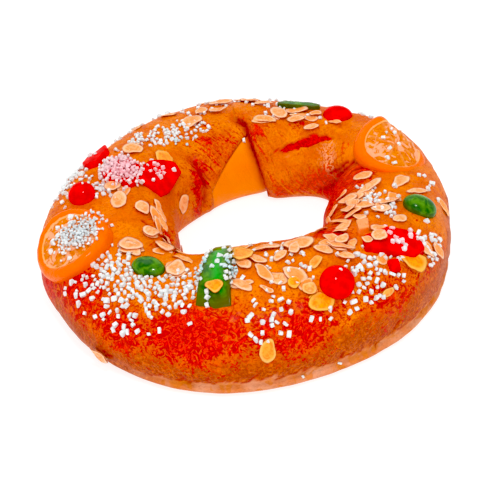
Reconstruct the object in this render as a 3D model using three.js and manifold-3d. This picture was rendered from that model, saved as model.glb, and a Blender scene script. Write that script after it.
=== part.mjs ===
// Roscon de reyes: a baked ring of sweet dough with candied fruit, almond flakes and pearl sugar.
// Millimetres, +Z up, the flat base on z = 0. A place on the ring is a pair of angles in degrees:
// the ring angle runs from +X towards +Y, and the side angle runs over the dough, from 0 at the
// widest line outside, through 90 on the crown, to 180 at the widest line in the hole. From -90 to
// 0 and from 180 to 270 it runs over the low walls, between the base and the widest lines.

import * as THREE from "three";
import { mergeVertices } from "three/addons/utils/BufferGeometryUtils.js";
import Module from "manifold-3d";

const wasm = await Module();
wasm.setup();

// ---- driving dimensions ----

// Each radius or height swells in waves: [waves round the ring, mm, ring angle of a crest].
const OUTER = {
  size: 133.8,
  waves: [[1, 1.3, 35], [2, 4, 62], [3, 1.4, -33], [4, 1.8, 7], [5, 2, 34]],
};
const HOLE = {
  size: 52.2,
  waves: [[1, 12.2, 63], [2, 4.9, 43], [3, 3.4, -55], [4, 4.6, -44], [6, 1.8, -19]],
};
const CROWN = { size: 53.4, waves: [[1, 2.7, -84], [2, 4.2, -41], [3, 2.5, 42]] };
const BOX_CENTRE = [-1.1, 2.3]; // moves the ring so that its box is centred on the origin

const WIDEST = 0.38; // height of the widest line, as a share of the crown's
const DOME_POWER = 2.3; // 2 is an ellipse, more is squarer
const TUCK = 0.13; // how far the walls pull in at the base, as a share of the half width
const FOOT = { rise: 4, reach: 3.2, proud: 2.2, from: 238, to: 365, fade: 14 };
const FOOT_GROOVE = { rise: 9, reach: 2.2, depth: 1.6 };
const BASE_ROUND = 3; // rounding under the foot

// Unrolled across the dough, a degree of side angle is this long, in mm.
const DOME_STEP = 0.7;
const WALL_STEP = 0.25;

// The join of the dough's two ends: a crease, a smooth stretched facet on one side of it, and a
// swollen lip on the other.
const JOIN = {
  crease: [[92, 93], [87.2, 105], [85.8, 122], [82.2, 148], [77.8, 176], [76.4, 228], [76, 270]],
  facet: { from: 114, to: 180, width: 34, depth: 5 },
  lip: { height: 3.5, width: 16 },
  groove: { depth: 2.5, width: 3 },
};

// Other folds in the dough: a line of [ring angle, side angle] points, mm deep and mm wide.
const FOLDS = [
  { line: [[67, 149], [57, 136], [48, 121]], depth: 1.8, width: 3.4 },
  { line: [[38, 200], [34, 160], [27, 136], [25, 114]], depth: 3.5, width: 4 },
  { line: [[122, 132], [119, 160], [121, 220]], depth: 3, width: 4 },
  { line: [[46, 215], [37, 178], [30, 150]], depth: 2.5, width: 3 },
];

// Swellings: the place, the mm they spread along and across the ring, and the mm they rise.
const SWELLINGS = [
  { at: [60, 168], along: 22, across: 22, rise: 3.5 },
  { at: [63, 235], along: 12, across: 20, rise: 3.5 },
  { at: [108, 150], along: 16, across: 22, rise: 2 },
  { at: [262, 95], along: 24, across: 22, rise: 1.5 },
  { at: [30, 66], along: 16, across: 18, rise: 3 },
  { at: [224, -4], along: 34, across: 24, rise: 3 },
];

const GAP = 0.3; // between the dough and the fruit fitted to it
const CLEAR = 0.45; // what a piece's neighbours and their toppings leave round it, at least
const RING_STEP = { fine: 2.7, coarse: 5.8, from: 22, to: 130 }; // degrees between the ring's sections
const SIDES = [-90, -77, -64, -50, -33, -14, 0, 10, 22, 34, 46, 58, 70, 82, 94, 106, 118, 130, 142,
  154, 165, 176, 188, 203, 220, 238, 256, 270];

// ---- candied fruit ----
// at is [ring angle, side angle]. spin turns a piece on the dough, lean tips it about the ring's
// direction and then about the line towards the hole, and sink lowers it, in mm. bend is the
// radius in mm that a piece droops over. foot is the share of its reach at which a slice's side
// ends in the dough, and how deep. A fold turns down what lies beyond so many mm from the middle,
// in a direction counted in degrees from the slice's own x, round a radius and by so many degrees.

const SLICES = [
  {
    name: "orange_slice_left", at: [198, 60], radius: 25.5, thick: 9,
    spin: 10, lean: [7, 0], sink: 1.5, bend: 55, foot: { share: 0.97, depth: 4 },
    sugar: { count: 26, centre: [-3, 2], reach: [14, 14] },
  },
  {
    name: "orange_slice_right", at: [20.3, 82.5], radius: 24.5, thick: 7,
    spin: 20, lean: [12, -16], sink: -1.5, bend: 36, foot: { share: 0.75, depth: 9 },
    fold: { towards: -57, from: 9.5, radius: 4, turn: 75 },
    sugar: { count: 6, centre: [-5, 4], reach: [10, 9] },
  },
];

const CHERRIES = [
  { name: "cherry_red_left", at: [176.5, 74], size: [8.8, 8.8, 7.5], sink: -1.5, colour: "red" },
  { name: "cherry_red_front", at: [296, 57], size: [10.4, 10.4, 8.6], sink: -2, colour: "red" },
  { name: "cherry_red_back", at: [53, 82], size: [10.2, 9.4, 6.2], sink: 0.5, colour: "red" },
  { name: "cherry_green_left", at: [227, 91.5], size: [11.5, 8.5, 6.3], sink: -0.3, colour: "green" },
  { name: "cherry_green_right", at: [346, 62], size: [9.2, 11.2, 7], sink: -0.5, colour: "green" },
];

// Slabs cut from candied fruit: an outline in mm, x along the ring and y towards the hole.
const SLABS = [
  {
    name: "red_wedge_left", at: [152, 61], thick: 5.5, sink: 2, bend: 50, colour: "red",
    outline: [[-12.5, -1], [-5, 6.5], [5, 9], [14, 10], [17, 3], [12, -4], [3.5, -7]],
  },
  {
    name: "red_slab_sugared", at: [160, 97], thick: 5, sink: 1, bend: 45, colour: "red",
    sugar: { count: 22, centre: [2, 0], reach: [10, 10] },
    outline: [[-1, -14], [-9, -10], [-9.5, 2], [-6, 10], [7, 15], [15, 11], [17, -4], [8, -13]],
  },
  {
    name: "red_slab_bare", at: [151, 128], thick: 5, sink: 1, bend: 45, colour: "red",
    sugar: { count: 8, centre: [2, -1], reach: [10, 8] },
    outline: [[-2, -10], [-10, -4], [-16, 3], [-14, 11], [4, 14], [15, 12], [19, -6], [11, -11]],
  },
  {
    name: "red_slab_right", at: [326.5, 74], thick: 5, sink: 1, bend: 45, colour: "red",
    sugar: { count: 9, centre: [0, -2], reach: [10, 10] },
    outline: [[-18, 11], [-27, 4], [-18, -10], [-7, -21], [4, -22], [9.5, -13], [4, -4], [-1, 4], [-9, 7]],
  },
  {
    name: "red_chip_right", at: [315.5, 48], thick: 4, sink: 1, bend: 45, colour: "red",
    outline: [[-2, 5], [4.5, 2.5], [1, -5], [-5, -2.5]],
  },
  {
    name: "peel_cube_right", at: [321.3, 92], thick: 6, sink: 1, bend: 45, colour: "peel",
    outline: [[1.5, 6], [8, 1.5], [-0.5, -5.5], [-7, -2.5]],
  },
  {
    name: "green_strip_front", at: [257, 93], thick: 7, sink: 0.5, bend: 42, colour: "green",
    sugar: { count: 10, centre: [0, 0], reach: [6, 18] },
    outline: [[-5, 29], [3, 29], [8, 8], [9, -12], [10, -31], [-1, -34], [-12, -30], [-9, -8]],
  },
  {
    name: "green_strip_back", at: [69.3, 75], thick: 4.5, sink: 1.5, bend: 60, colour: "green",
    outline: [[-17, 2], [-8, 3.5], [12, 3], [14, 0], [10, -3.5], [-10, -3.5], [-17, -1]],
  },
];
// flesh, rind, flat and edge are shares of a piece's reach, from its middle out.
const SLICE = {
  segments: 24, membranes: 8, hollow: 1.6, membrane: 0.9,
  flesh: [0.22, 0.5, 0.74], rind: [0.8, 0.93], edge: { share: 1, height: 0.7 },
};
const SLAB = { longEdge: 11, flat: [0.5, 0.88], edge: { share: 1, height: 0.7 } };
const CHERRY = { segments: 14, rings: 9 };
const SUNK = 4; // how far a slab goes into the dough before it is fitted to it

const COLOURS = {
  dough: { color: 0xe8760c, roughness: 0.45, metalness: 0 },
  orange: { color: 0xff8c10, roughness: 0.3, metalness: 0 },
  peel: { color: 0xff9a30, roughness: 0.3, metalness: 0 },
  red: { color: 0xe80606, roughness: 0.2, metalness: 0 },
  green: { color: 0x1f8a10, roughness: 0.25, metalness: 0 },
};

// ---- almond flakes and pearl sugar ----

const FLAKE = { thick: 1.8, sink: 0.8, bend: 38, corners: 10, blunt: 0.12 };
// Each flake: ring angle, side angle, spin, length, width.
const FLAKES = [
  [174, 103, 20, 12, 9], [181, 136, 15, 15, 5], [193, 138, 25, 15, 5], [144, 175.5, 85, 15, 10],
  [142, 86, 15, 14, 9], [205, 122, 70, 10, 7], [212, 100, 30, 14, 9],
  [220, 120, 60, 13, 8], [226, 140, 10, 14, 6], [240, 92, 20, 14, 9], [110, 88, 10, 15, 10],
  [80, 104, 5, 15, 6], [74, 92, 70, 14, 8], [66, 92, 10, 15, 7], [88, 60, 0, 16, 8],
  [61, 96, 0, 12, 6], [266, 118, 20, 15, 10], [278, 112, 5, 12, 8], [292, 108, 170, 17, 9],
  [305, 96, 175, 14, 8], [279, 78, 150, 14, 9], [287, 66, 20, 10, 8], [289.6, 49, 178, 17, 12],
  [273, 17, 75, 16, 9], [226.6, -42, 110, 13, 10], [267, 78, 5, 15, 7], [348, 107, 30, 15, 8],
  [342, 92, 10, 17, 9], [321, 108, 10, 16, 7], [349, 85, 40, 12, 8], [311, 86, 30, 14, 6],
  [331, 33, 70, 14, 6], [314, 60, 30, 10, 7],
  [100, 40, 30, 16, 9], [60, 35, 110, 14, 9], [128, 50, 60, 15, 9], [8, 108, 80, 14, 8],
  [115, 62, 0, 13, 8], [355, 30, 50, 14, 9], [80, 20, 90, 15, 9], [35, 20, 20, 14, 8],
];

// Half a grain's length, width and height, how far its middle stands off the skin, and how far
// two middles stay apart. Grains in the drifts vary in size by the shares.
const GRAIN = { half: [2.5, 2, 1.9], rise: 0.5, clear: 4.6, smallest: 0.85, varies: 0.35, onFruit: 0.9 };
const DROP_FROM = 30; // mm above a piece of fruit
const SEED = 6;
// Drifts of sugar: the middle, the mm it spreads along and across, and how many grains.
const DRIFTS = [
  { at: [232, 72], along: 32, across: 14, grains: 34 },
  { at: [216, 84], along: 16, across: 10, grains: 12 },
  { at: [238, 42], along: 36, across: 10, grains: 9 },
  { at: [164, 48], along: 18, across: 12, grains: 10 },
  { at: [165, 88], along: 12, across: 10, grains: 6 },
  { at: [130, 92], along: 20, across: 10, grains: 12 },
  { at: [106, 84], along: 16, across: 8, grains: 7 },
  { at: [308, 60], along: 14, across: 10, grains: 12 },
  { at: [273, 44], along: 10, across: 14, grains: 7 },
  { at: [277, 95], along: 22, across: 16, grains: 10 },
  { at: [343, 94], along: 14, across: 12, grains: 8 },
  { at: [331, 44], along: 18, across: 10, grains: 8 },
  { at: [60, 50], along: 46, across: 16, grains: 12 },
  { at: [0, 60], along: 18, across: 18, grains: 4 },
];

// ---- the dough's surface ----

const radians = THREE.MathUtils.degToRad;

function waved({ size, waves }, ring) {
  return waves.reduce((sum, [count, mm, crest]) => sum + mm * Math.cos(count * radians(ring - crest)), size);
}

function turned(from, to) {
  return ((((to - from) % 360) + 540) % 360) - 180;
}

// mm across the dough from the outer widest line, with the walls' shorter steps.
function across(side) {
  const dome = THREE.MathUtils.clamp(side, 0, 180);
  return dome * DOME_STEP + (side - dome) * WALL_STEP;
}

function ringRadius(side) {
  const middle = (OUTER.size + HOLE.size) / 2;
  return middle + (OUTER.size - middle) * Math.cos(radians(THREE.MathUtils.clamp(side, 0, 180)));
}

// From a line of places to a place: how far, and on which side (+1 is towards smaller ring angles).
function fromLine(line, ring, side) {
  const radius = radians(ringRadius(side));
  const [start] = line[0];
  const ahead = turned(ring, start) - start;
  const flat = line.map(([r, s]) => [(ahead + r) * radius, across(s) - across(side)]);
  let near = Infinity;
  let hand = 1;
  for (let i = 1; i < flat.length; i++) {
    const [x, y] = flat[i - 1];
    const dx = flat[i][0] - x;
    const dy = flat[i][1] - y;
    const share = THREE.MathUtils.clamp(-(x * dx + y * dy) / (dx * dx + dy * dy), 0, 1);
    const away = Math.hypot(x + share * dx, y + share * dy);
    if (away < near) {
      near = away;
      hand = x + share * dx > 0 ? 1 : -1;
    }
  }
  return { near, hand };
}

function joinRelief(ring, side) {
  const { near, hand } = fromLine(JOIN.crease, ring, side);
  const groove = -JOIN.groove.depth * Math.exp(-((near / JOIN.groove.width) ** 2));
  if (hand > 0) return groove + JOIN.lip.height * Math.exp(-((near / JOIN.lip.width) ** 2));
  const { from, to, width, depth } = JOIN.facet;
  const reach = width * THREE.MathUtils.clamp((side - from) / (to - from), 0, 1) + 1;
  return groove - depth * Math.min(reach / width * 2, 1) * Math.max(0, 1 - near / reach);
}

function relief(ring, side) {
  let rise = joinRelief(ring, side);
  for (const { line, depth, width } of FOLDS) {
    rise -= depth * Math.exp(-((fromLine(line, ring, side).near / width) ** 2));
  }
  for (const swelling of SWELLINGS) {
    const along = (turned(swelling.at[0], ring) * radians(ringRadius(side))) / swelling.along;
    const over = (across(side) - across(swelling.at[1])) / swelling.across;
    rise += swelling.rise * Math.exp(-along * along - over * over);
  }
  return rise;
}

// How much of the foot shows at a ring angle: it tucks under the dough elsewhere.
function footShare(ring) {
  const place = ((ring % 360) + 360) % 360;
  const start = (turned(FOOT.from, place) + FOOT.fade) / (2 * FOOT.fade);
  const end = (turned(place, FOOT.to) + FOOT.fade) / (2 * FOOT.fade);
  return THREE.MathUtils.clamp(Math.min(start, end), 0, 1);
}

function wallHalfWidth(half, z, widest, foot) {
  const bump = (mid, reach) => Math.exp(-(((z - mid) / reach) ** 2));
  const tuck = half * TUCK * (1 - z / widest) ** 2;
  const under = BASE_ROUND * Math.max(0, 1 - z / BASE_ROUND) ** 2;
  const lip = FOOT.proud * bump(FOOT.rise, FOOT.reach);
  const groove = FOOT_GROOVE.depth * bump(FOOT_GROOVE.rise, FOOT_GROOVE.reach);
  return half - tuck - under + foot * (lip - groove);
}

function onDough(ring, side, lift = 0) {
  const outer = waved(OUTER, ring);
  const hole = waved(HOLE, ring);
  const crown = waved(CROWN, ring);
  const half = (outer - hole) / 2;
  const widest = WIDEST * crown;
  let x;
  let z;
  if (side >= 0 && side <= 180) {
    const turn = radians(side);
    x = Math.sign(Math.cos(turn)) * Math.abs(Math.cos(turn)) ** (2 / DOME_POWER) * half;
    z = widest + (crown - widest) * Math.sin(turn) ** (2 / DOME_POWER);
  } else {
    z = widest * (1 - (side < 0 ? -side : side - 180) / 90);
    x = Math.sign(-side) * wallHalfWidth(half, z, widest, side < 0 ? footShare(ring) : 0);
  }
  const push = [x / half, Math.max(0, z - widest) / (crown - widest)];
  const scale = (relief(ring, side) + lift) / Math.hypot(...push);
  const radius = (outer + hole) / 2 + x + push[0] * scale;
  return new THREE.Vector3(
    radius * Math.cos(radians(ring)) - BOX_CENTRE[0],
    radius * Math.sin(radians(ring)) - BOX_CENTRE[1],
    z + push[1] * scale,
  );
}

// ---- solids ----

function solidOf(geometry) {
  const bare = new THREE.BufferGeometry();
  bare.setAttribute("position", geometry.attributes.position.clone());
  if (geometry.index) bare.setIndex(geometry.index);
  const merged = mergeVertices(bare, 1e-4);
  return new wasm.Manifold(new wasm.Mesh({
    numProp: 3,
    vertProperties: new Float32Array(merged.attributes.position.array),
    triVerts: new Uint32Array(merged.index.array),
  }));
}

function geometryOf(solid) {
  const { vertProperties, triVerts, numProp } = solid.getMesh();
  const geometry = new THREE.BufferGeometry();
  const positions = new Float32Array((vertProperties.length / numProp) * 3);
  for (let i = 0; i < positions.length; i++) {
    positions[i] = vertProperties[Math.floor(i / 3) * numProp + (i % 3)];
  }
  geometry.setAttribute("position", new THREE.BufferAttribute(positions, 3));
  geometry.setIndex([...triVerts]);
  geometry.computeVertexNormals();
  return geometry;
}

function largest(solid) {
  return solid.decompose().reduce((best, body) => (body.volume() > best.volume() ? body : best));
}

function indexed(points, faces) {
  const geometry = new THREE.BufferGeometry();
  const positions = new Float32Array(points.flatMap((point) => point.toArray()));
  geometry.setAttribute("position", new THREE.BufferAttribute(positions, 3));
  geometry.setIndex(faces.flat());
  return geometry;
}

function ringAngles() {
  const { fine, coarse, from, to } = RING_STEP;
  const fineCount = Math.round((to - from) / fine);
  const coarseCount = Math.round((360 - (to - from)) / coarse);
  const angles = [];
  for (let i = 0; i < fineCount; i++) angles.push(from + ((to - from) * i) / fineCount);
  for (let i = 0; i < coarseCount; i++) angles.push(to + ((360 - to + from) * i) / coarseCount);
  return angles;
}

function doughGeometry(lift) {
  const angles = ringAngles();
  const points = angles.flatMap((ring) => SIDES.map((side) => onDough(ring, side, lift)));
  const faces = [];
  const count = SIDES.length;
  for (let i = 0; i < angles.length; i++) {
    const here = i * count;
    const next = ((i + 1) % angles.length) * count;
    for (let j = 0; j < count; j++) {
      const k = (j + 1) % count;
      faces.push([here + j, next + j, next + k], [here + j, next + k, here + k]);
    }
  }
  return indexed(points, faces);
}

// The frame on the dough at a place: x along the ring, y towards the hole, z out of the dough.
function placement({ at, spin = 0, lean = [0, 0], sink = 0 }) {
  const step = 1.5;
  const [ring, side] = at;
  const along = onDough(ring + step, side).sub(onDough(ring - step, side)).normalize();
  const over = onDough(ring, side + 2 * step).sub(onDough(ring, side - 2 * step));
  const out = new THREE.Vector3().crossVectors(along, over).normalize();
  const towards = new THREE.Vector3().crossVectors(out, along);
  const frame = new THREE.Matrix4().makeBasis(along, towards, out);
  frame.setPosition(onDough(ring, side).addScaledVector(out, -sink));
  frame.multiply(new THREE.Matrix4().makeRotationX(radians(lean[0])));
  frame.multiply(new THREE.Matrix4().makeRotationY(radians(lean[1])));
  return frame.multiply(new THREE.Matrix4().makeRotationZ(radians(spin)));
}

// Droops a piece over the dough, whose crown curves across the ring, and folds it.
function bent(geometry, { bend, spin = 0, fold }) {
  const position = geometry.attributes.position;
  const point = new THREE.Vector3();
  for (let i = 0; i < position.count; i++) {
    point.fromBufferAttribute(position, i);
    const y = point.x * Math.sin(radians(spin)) + point.y * Math.cos(radians(spin));
    point.z -= (y * y) / (2 * bend);
    if (fold) foldDown(point, fold);
    position.setXYZ(i, ...point);
  }
  return geometry;
}

// Turns a point down round a radius, if it is beyond the line where the fold starts.
function foldDown(point, fold) {
  const way = new THREE.Vector3(Math.cos(radians(fold.towards)), Math.sin(radians(fold.towards)), 0);
  const beyond = Math.max(0, point.dot(way) - fold.from);
  const turn = Math.min(beyond / fold.radius, radians(fold.turn));
  const straight = beyond - turn * fold.radius;
  const height = Math.max(point.z, -fold.radius);
  const out = (fold.radius + height) * Math.sin(turn) + straight * Math.cos(turn) - beyond;
  const drop = fold.radius * (1 - Math.cos(turn)) + straight * Math.sin(turn);
  const z = point.z * Math.cos(turn) - drop;
  point.addScaledVector(way, out).setZ(z);
}

// Stacks closed rings of points, between a point on top and a point below, into one closed skin.
function stacked(top, rings, bottom) {
  const count = rings[0].length;
  const faces = [];
  const last = 1 + rings.length * count;
  for (let i = 0; i < count; i++) {
    const j = (i + 1) % count;
    faces.push([0, 1 + i, 1 + j], [last, last - count + j, last - count + i]);
    for (let ring = 1; ring < rings.length; ring++) {
      const [a, b] = [1 + (ring - 1) * count, 1 + ring * count];
      faces.push([a + i, b + i, b + j], [a + i, b + j, a + j]);
    }
  }
  return indexed([top, ...rings.flat(), bottom], faces);
}

// A candied orange slice: a raised rind, and flesh with raised membranes.
function sliceGeometry({ radius, thick, foot }) {
  const { segments, membranes, hollow, membrane } = SLICE;
  const circle = (share, height, rise = 0) => Array.from({ length: segments }, (_, i) => {
    const turn = (2 * Math.PI * i) / segments;
    const z = height + (i % (segments / membranes) === 0 ? rise : 0);
    return new THREE.Vector3(share * radius * Math.cos(turn), share * radius * Math.sin(turn), z);
  });
  const rings = [
    ...SLICE.flesh.map((share) => circle(share, thick - hollow, membrane)),
    ...SLICE.rind.map((share) => circle(share, thick)),
    circle(SLICE.edge.share, thick * SLICE.edge.height),
    circle(foot.share, -foot.depth),
  ];
  const middle = new THREE.Vector3(0, 0, thick - hollow + membrane);
  return stacked(middle, rings, new THREE.Vector3(0, 0, -foot.depth));
}

// A slab with rounded edges over an outline, whose long edges get a point in the middle.
function slabGeometry(outline, thick) {
  const edge = outline.flatMap(([x, y], i) => {
    const [nextX, nextY] = outline[(i + 1) % outline.length];
    const long = Math.hypot(nextX - x, nextY - y) > SLAB.longEdge;
    return long ? [[x, y], [(x + nextX) / 2, (y + nextY) / 2]] : [[x, y]];
  }).map((point) => new THREE.Vector2(...point));
  if (THREE.ShapeUtils.isClockWise(edge)) edge.reverse();
  const centre = edge.reduce((sum, point) => sum.add(point), new THREE.Vector2()).divideScalar(edge.length);
  const scaled = (share, z) => edge.map(({ x, y }) => new THREE.Vector3(
    centre.x + share * (x - centre.x), centre.y + share * (y - centre.y), z));
  const { flat, edge: rim } = SLAB;
  const rings = [
    ...flat.map((share) => scaled(share, thick)),
    scaled(rim.share, thick * rim.height),
    scaled(rim.share, -SUNK),
  ];
  return stacked(new THREE.Vector3(...centre, thick), rings, new THREE.Vector3(...centre, -SUNK));
}

function flakeGeometry(length, width) {
  const { corners, thick } = FLAKE;
  const points = [];
  for (const z of [-thick / 2, thick / 2]) {
    for (let i = 0; i < corners; i++) {
      const turn = (2 * Math.PI * i) / corners;
      const blunt = 1 - FLAKE.blunt * Math.cos(turn);
      points.push(new THREE.Vector3((length / 2) * Math.cos(turn), (width / 2) * blunt * Math.sin(turn), z));
    }
  }
  const faces = [];
  for (let i = 0; i < corners; i++) {
    const j = (i + 1) % corners;
    faces.push([i, j, corners + j], [i, corners + j, corners + i]);
    if (i > 1) faces.push([0, i, i - 1], [corners, corners + i - 1, corners + i]);
  }
  return indexed(points, faces);
}

function grainGeometry(size) {
  const [x, y, z] = GRAIN.half.map((half) => half * size);
  return new THREE.OctahedronGeometry(1).scale(x, y, z);
}

function seeded(seed) {
  let state = seed;
  return () => {
    state = (state + 0x6d2b79f5) | 0;
    let t = Math.imul(state ^ (state >>> 15), 1 | state);
    t = (t + Math.imul(t ^ (t >>> 7), 61 | t)) ^ t;
    return ((t ^ (t >>> 14)) >>> 0) / 4294967296;
  };
}

// ---- building ----

const roscon = new THREE.Group();
const random = seeded(SEED);

function add(name, solid, colour) {
  const mesh = new THREE.Mesh(geometryOf(solid), new THREE.MeshStandardMaterial(COLOURS[colour]));
  mesh.name = name;
  roscon.add(mesh);
}

function placed(geometry, piece) {
  const drooped = piece.bend ? bent(geometry, piece) : geometry;
  return solidOf(drooped.applyMatrix4(placement(piece)));
}

// The same shape in its own frame, larger on every side: what other pieces keep clear of.
function enlarged(geometry) {
  geometry.computeBoundingBox();
  const { min, max } = geometry.boundingBox;
  const scale = min.toArray().map((low, axis) => 1 + CLEAR / Math.min(-low, max.getComponent(axis)));
  return geometry.clone().scale(...scale);
}

function fruitShapes() {
  const slices = SLICES.map((piece) => ({ ...piece, colour: "orange", shape: sliceGeometry(piece) }));
  const ball = new THREE.SphereGeometry(1, CHERRY.segments, CHERRY.rings).rotateX(Math.PI / 2);
  const cherries = CHERRIES.map((piece) => ({ ...piece, shape: ball.clone().scale(...piece.size) }));
  const slabs = SLABS.map((piece) => ({ ...piece, shape: slabGeometry(piece.outline, piece.thick) }));
  return [...slices, ...cherries, ...slabs];
}

// Fuses small toppings on a solid. A topping that would touch another piece is skipped.
function topped(base, toppings, others) {
  const clear = toppings.filter((topping) => others.every((other) => topping.intersect(other).isEmpty()));
  return largest(clear.reduce((sum, topping) => sum.add(topping), base));
}

function flake([ring, side, spin, length, width]) {
  const piece = { at: [ring, side], spin, sink: FLAKE.sink - FLAKE.thick / 2, bend: FLAKE.bend };
  return placed(flakeGeometry(length, width), piece);
}

function spread() {
  return random() + random() + random() - 1.5;
}

// Grains of sugar in drifts, none on top of another.
function driftGrains() {
  const grains = [];
  for (const drift of DRIFTS) {
    for (let i = 0; i < drift.grains; i++) {
      const side = drift.at[1] + (spread() * drift.across) / DOME_STEP;
      const ring = drift.at[0] + (spread() * drift.along) / radians(ringRadius(side));
      const spin = random() * 180;
      const size = GRAIN.smallest + random() * GRAIN.varies;
      const centre = onDough(ring, side);
      if (grains.some((other) => other.centre.distanceTo(centre) < GRAIN.clear)) continue;
      const seat = { at: [ring, side], spin, sink: -GRAIN.rise };
      grains.push({ centre, solid: placed(grainGeometry(size), seat) });
    }
  }
  return grains.map((grain) => grain.solid);
}

// Grains on top of a piece of fruit: places in mm in the piece's own frame, dropped on its skin.
function fruitGrains(piece) {
  const { count, centre, reach } = piece.sugar;
  const frame = placement(piece);
  const grains = [];
  const drop = new THREE.Raycaster();
  const skin = new THREE.Mesh(geometryOf(piece.solid), new THREE.MeshBasicMaterial());
  const down = new THREE.Vector3(0, 0, -1).transformDirection(frame);
  for (let i = 0; i < count; i++) {
    const x = centre[0] + spread() * reach[0];
    const y = centre[1] + spread() * reach[1];
    const start = new THREE.Vector3(x, y, DROP_FROM);
    const spin = random() * 180;
    drop.set(start.applyMatrix4(frame), down);
    const [hit] = drop.intersectObject(skin);
    if (!hit || grains.some((other) => other.point.distanceTo(hit.point) < GRAIN.clear)) continue;
    const seat = frame.clone().setPosition(hit.point);
    const geometry = grainGeometry(GRAIN.onFruit).rotateZ(radians(spin)).applyMatrix4(seat);
    grains.push({ point: hit.point, solid: solidOf(geometry) });
  }
  return grains.map((grain) => grain.solid);
}

const bareDough = solidOf(doughGeometry(0));
const grownDough = solidOf(doughGeometry(GAP));
const fruit = fruitShapes();
const laid = [grownDough];
for (const piece of fruit) {
  piece.keepOut = placed(enlarged(piece.shape), piece);
  piece.solid = largest(laid.reduce((solid, other) => solid.subtract(other), placed(piece.shape, piece)));
  laid.push(piece.keepOut);
}

for (const piece of fruit) {
  const others = [grownDough, ...fruit.filter((other) => other !== piece).map((other) => other.keepOut)];
  add(piece.name, piece.sugar ? topped(piece.solid, fruitGrains(piece), others) : piece.solid, piece.colour);
}

const toppings = [...FLAKES.map(flake), ...driftGrains()];
add("dough_ring", topped(bareDough, toppings, fruit.map((piece) => piece.keepOut)), "dough");

export default roscon;
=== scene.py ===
# The looks of a roscon de reyes: a glazed ring of sweet dough, with candied fruit, almond flakes
# and pearl sugar. Shapes are worked out in millimetres, and become meshes in metres.
import math

import bpy
import numpy as np
from mathutils import Matrix, Vector, noise
from mathutils.bvhtree import BVHTree


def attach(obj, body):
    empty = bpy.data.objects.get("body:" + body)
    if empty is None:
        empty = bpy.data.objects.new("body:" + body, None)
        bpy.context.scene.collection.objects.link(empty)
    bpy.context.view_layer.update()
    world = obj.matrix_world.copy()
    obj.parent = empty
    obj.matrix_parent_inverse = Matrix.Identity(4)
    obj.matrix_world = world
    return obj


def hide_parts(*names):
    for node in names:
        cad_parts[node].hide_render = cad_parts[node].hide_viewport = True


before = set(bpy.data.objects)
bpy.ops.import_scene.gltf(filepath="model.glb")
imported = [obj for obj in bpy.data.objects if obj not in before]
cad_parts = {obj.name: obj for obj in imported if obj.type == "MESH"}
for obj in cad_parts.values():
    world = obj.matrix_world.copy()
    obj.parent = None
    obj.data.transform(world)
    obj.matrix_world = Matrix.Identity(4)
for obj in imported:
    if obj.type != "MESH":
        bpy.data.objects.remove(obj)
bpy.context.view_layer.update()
MM = 0.001

# ---- the ring of dough ----
# A place on the ring is a pair of angles in degrees. The ring angle runs from +X towards +Y. The
# side angle runs over the dough, from 0 at the widest line outside, through 90 on the crown, to
# 180 at the widest line in the hole; -90 to 0 and 180 to 270 are the low walls.

# Each radius or height swells in waves: (waves round the ring, mm, ring angle of a crest).
OUTER = {"size": 133.8, "waves": [(1, 1.3, 35), (2, 4, 62), (3, 1.4, -33), (4, 1.8, 7), (5, 2, 34)]}
HOLE = {"size": 52.2, "waves": [(1, 12.2, 63), (2, 4.9, 43), (3, 3.4, -55), (4, 4.6, -44), (6, 1.8, -19)]}
CROWN = {"size": 53.4, "waves": [(1, 2.7, -84), (2, 4.2, -41), (3, 2.5, 42)]}
BOX_CENTRE = (-1.1, 2.3)

WIDEST = 0.38  # height of the widest line, as a share of the crown's
DOME_POWER = 2.3
TUCK = 0.13
FOOT = {"rise": 4, "reach": 3.2, "proud": 2.2, "from": 238, "to": 365, "fade": 14}
FOOT_GROOVE = {"rise": 9, "reach": 2.2, "depth": 1.6}
BASE_ROUND = 3
DOME_STEP = 0.7  # mm across the dough for a degree of side angle, on the dome
WALL_STEP = 0.25  # and on the low walls

JOIN_CREASE = [(92, 93), (87.2, 105), (85.8, 122), (82.2, 148), (77.8, 176), (76.4, 228), (76, 270)]
JOIN_FACET = {"from": 114, "to": 180, "width": 34, "depth": 5}
JOIN_LIP = {"height": 3.5, "width": 16}
JOIN_GROOVE = {"depth": 2.5, "width": 3}
FOLDS = [
    {"line": [(67, 149), (57, 136), (48, 121)], "depth": 1.8, "width": 3.4},
    {"line": [(38, 200), (34, 160), (27, 136), (25, 114)], "depth": 3.5, "width": 4},
    {"line": [(122, 132), (119, 160), (121, 220)], "depth": 3, "width": 4},
    {"line": [(46, 215), (37, 178), (30, 150)], "depth": 2.5, "width": 3},
]
SWELLINGS = [
    {"at": (60, 168), "along": 22, "across": 22, "rise": 3.5},
    {"at": (63, 235), "along": 12, "across": 20, "rise": 3.5},
    {"at": (108, 150), "along": 16, "across": 22, "rise": 2},
    {"at": (262, 95), "along": 24, "across": 22, "rise": 1.5},
    {"at": (30, 66), "along": 16, "across": 18, "rise": 3},
    {"at": (224, -4), "along": 34, "across": 24, "rise": 3},
]

# ---- the crust's fine shape, in mm ----
DOUGH_GRID = {"rings": 620, "dome": 112, "wall": 14, "base": 8}
# How far apart each kind of wrinkle is, the seed of its noise, and how high it rises.
WRINKLES = {"lumps": (22, 1, 0.7), "curls": (6.5, 2, 0.4), "grain": (3.4, 3, 0.25), "knobs": (9, 7, 0.45),
            "folds": (5, 5, 0.7)}
STREAK = 4  # how many times as long as wide the folds are
TWIST = 0.7  # how far the dough was twisted as it was rolled
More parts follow.
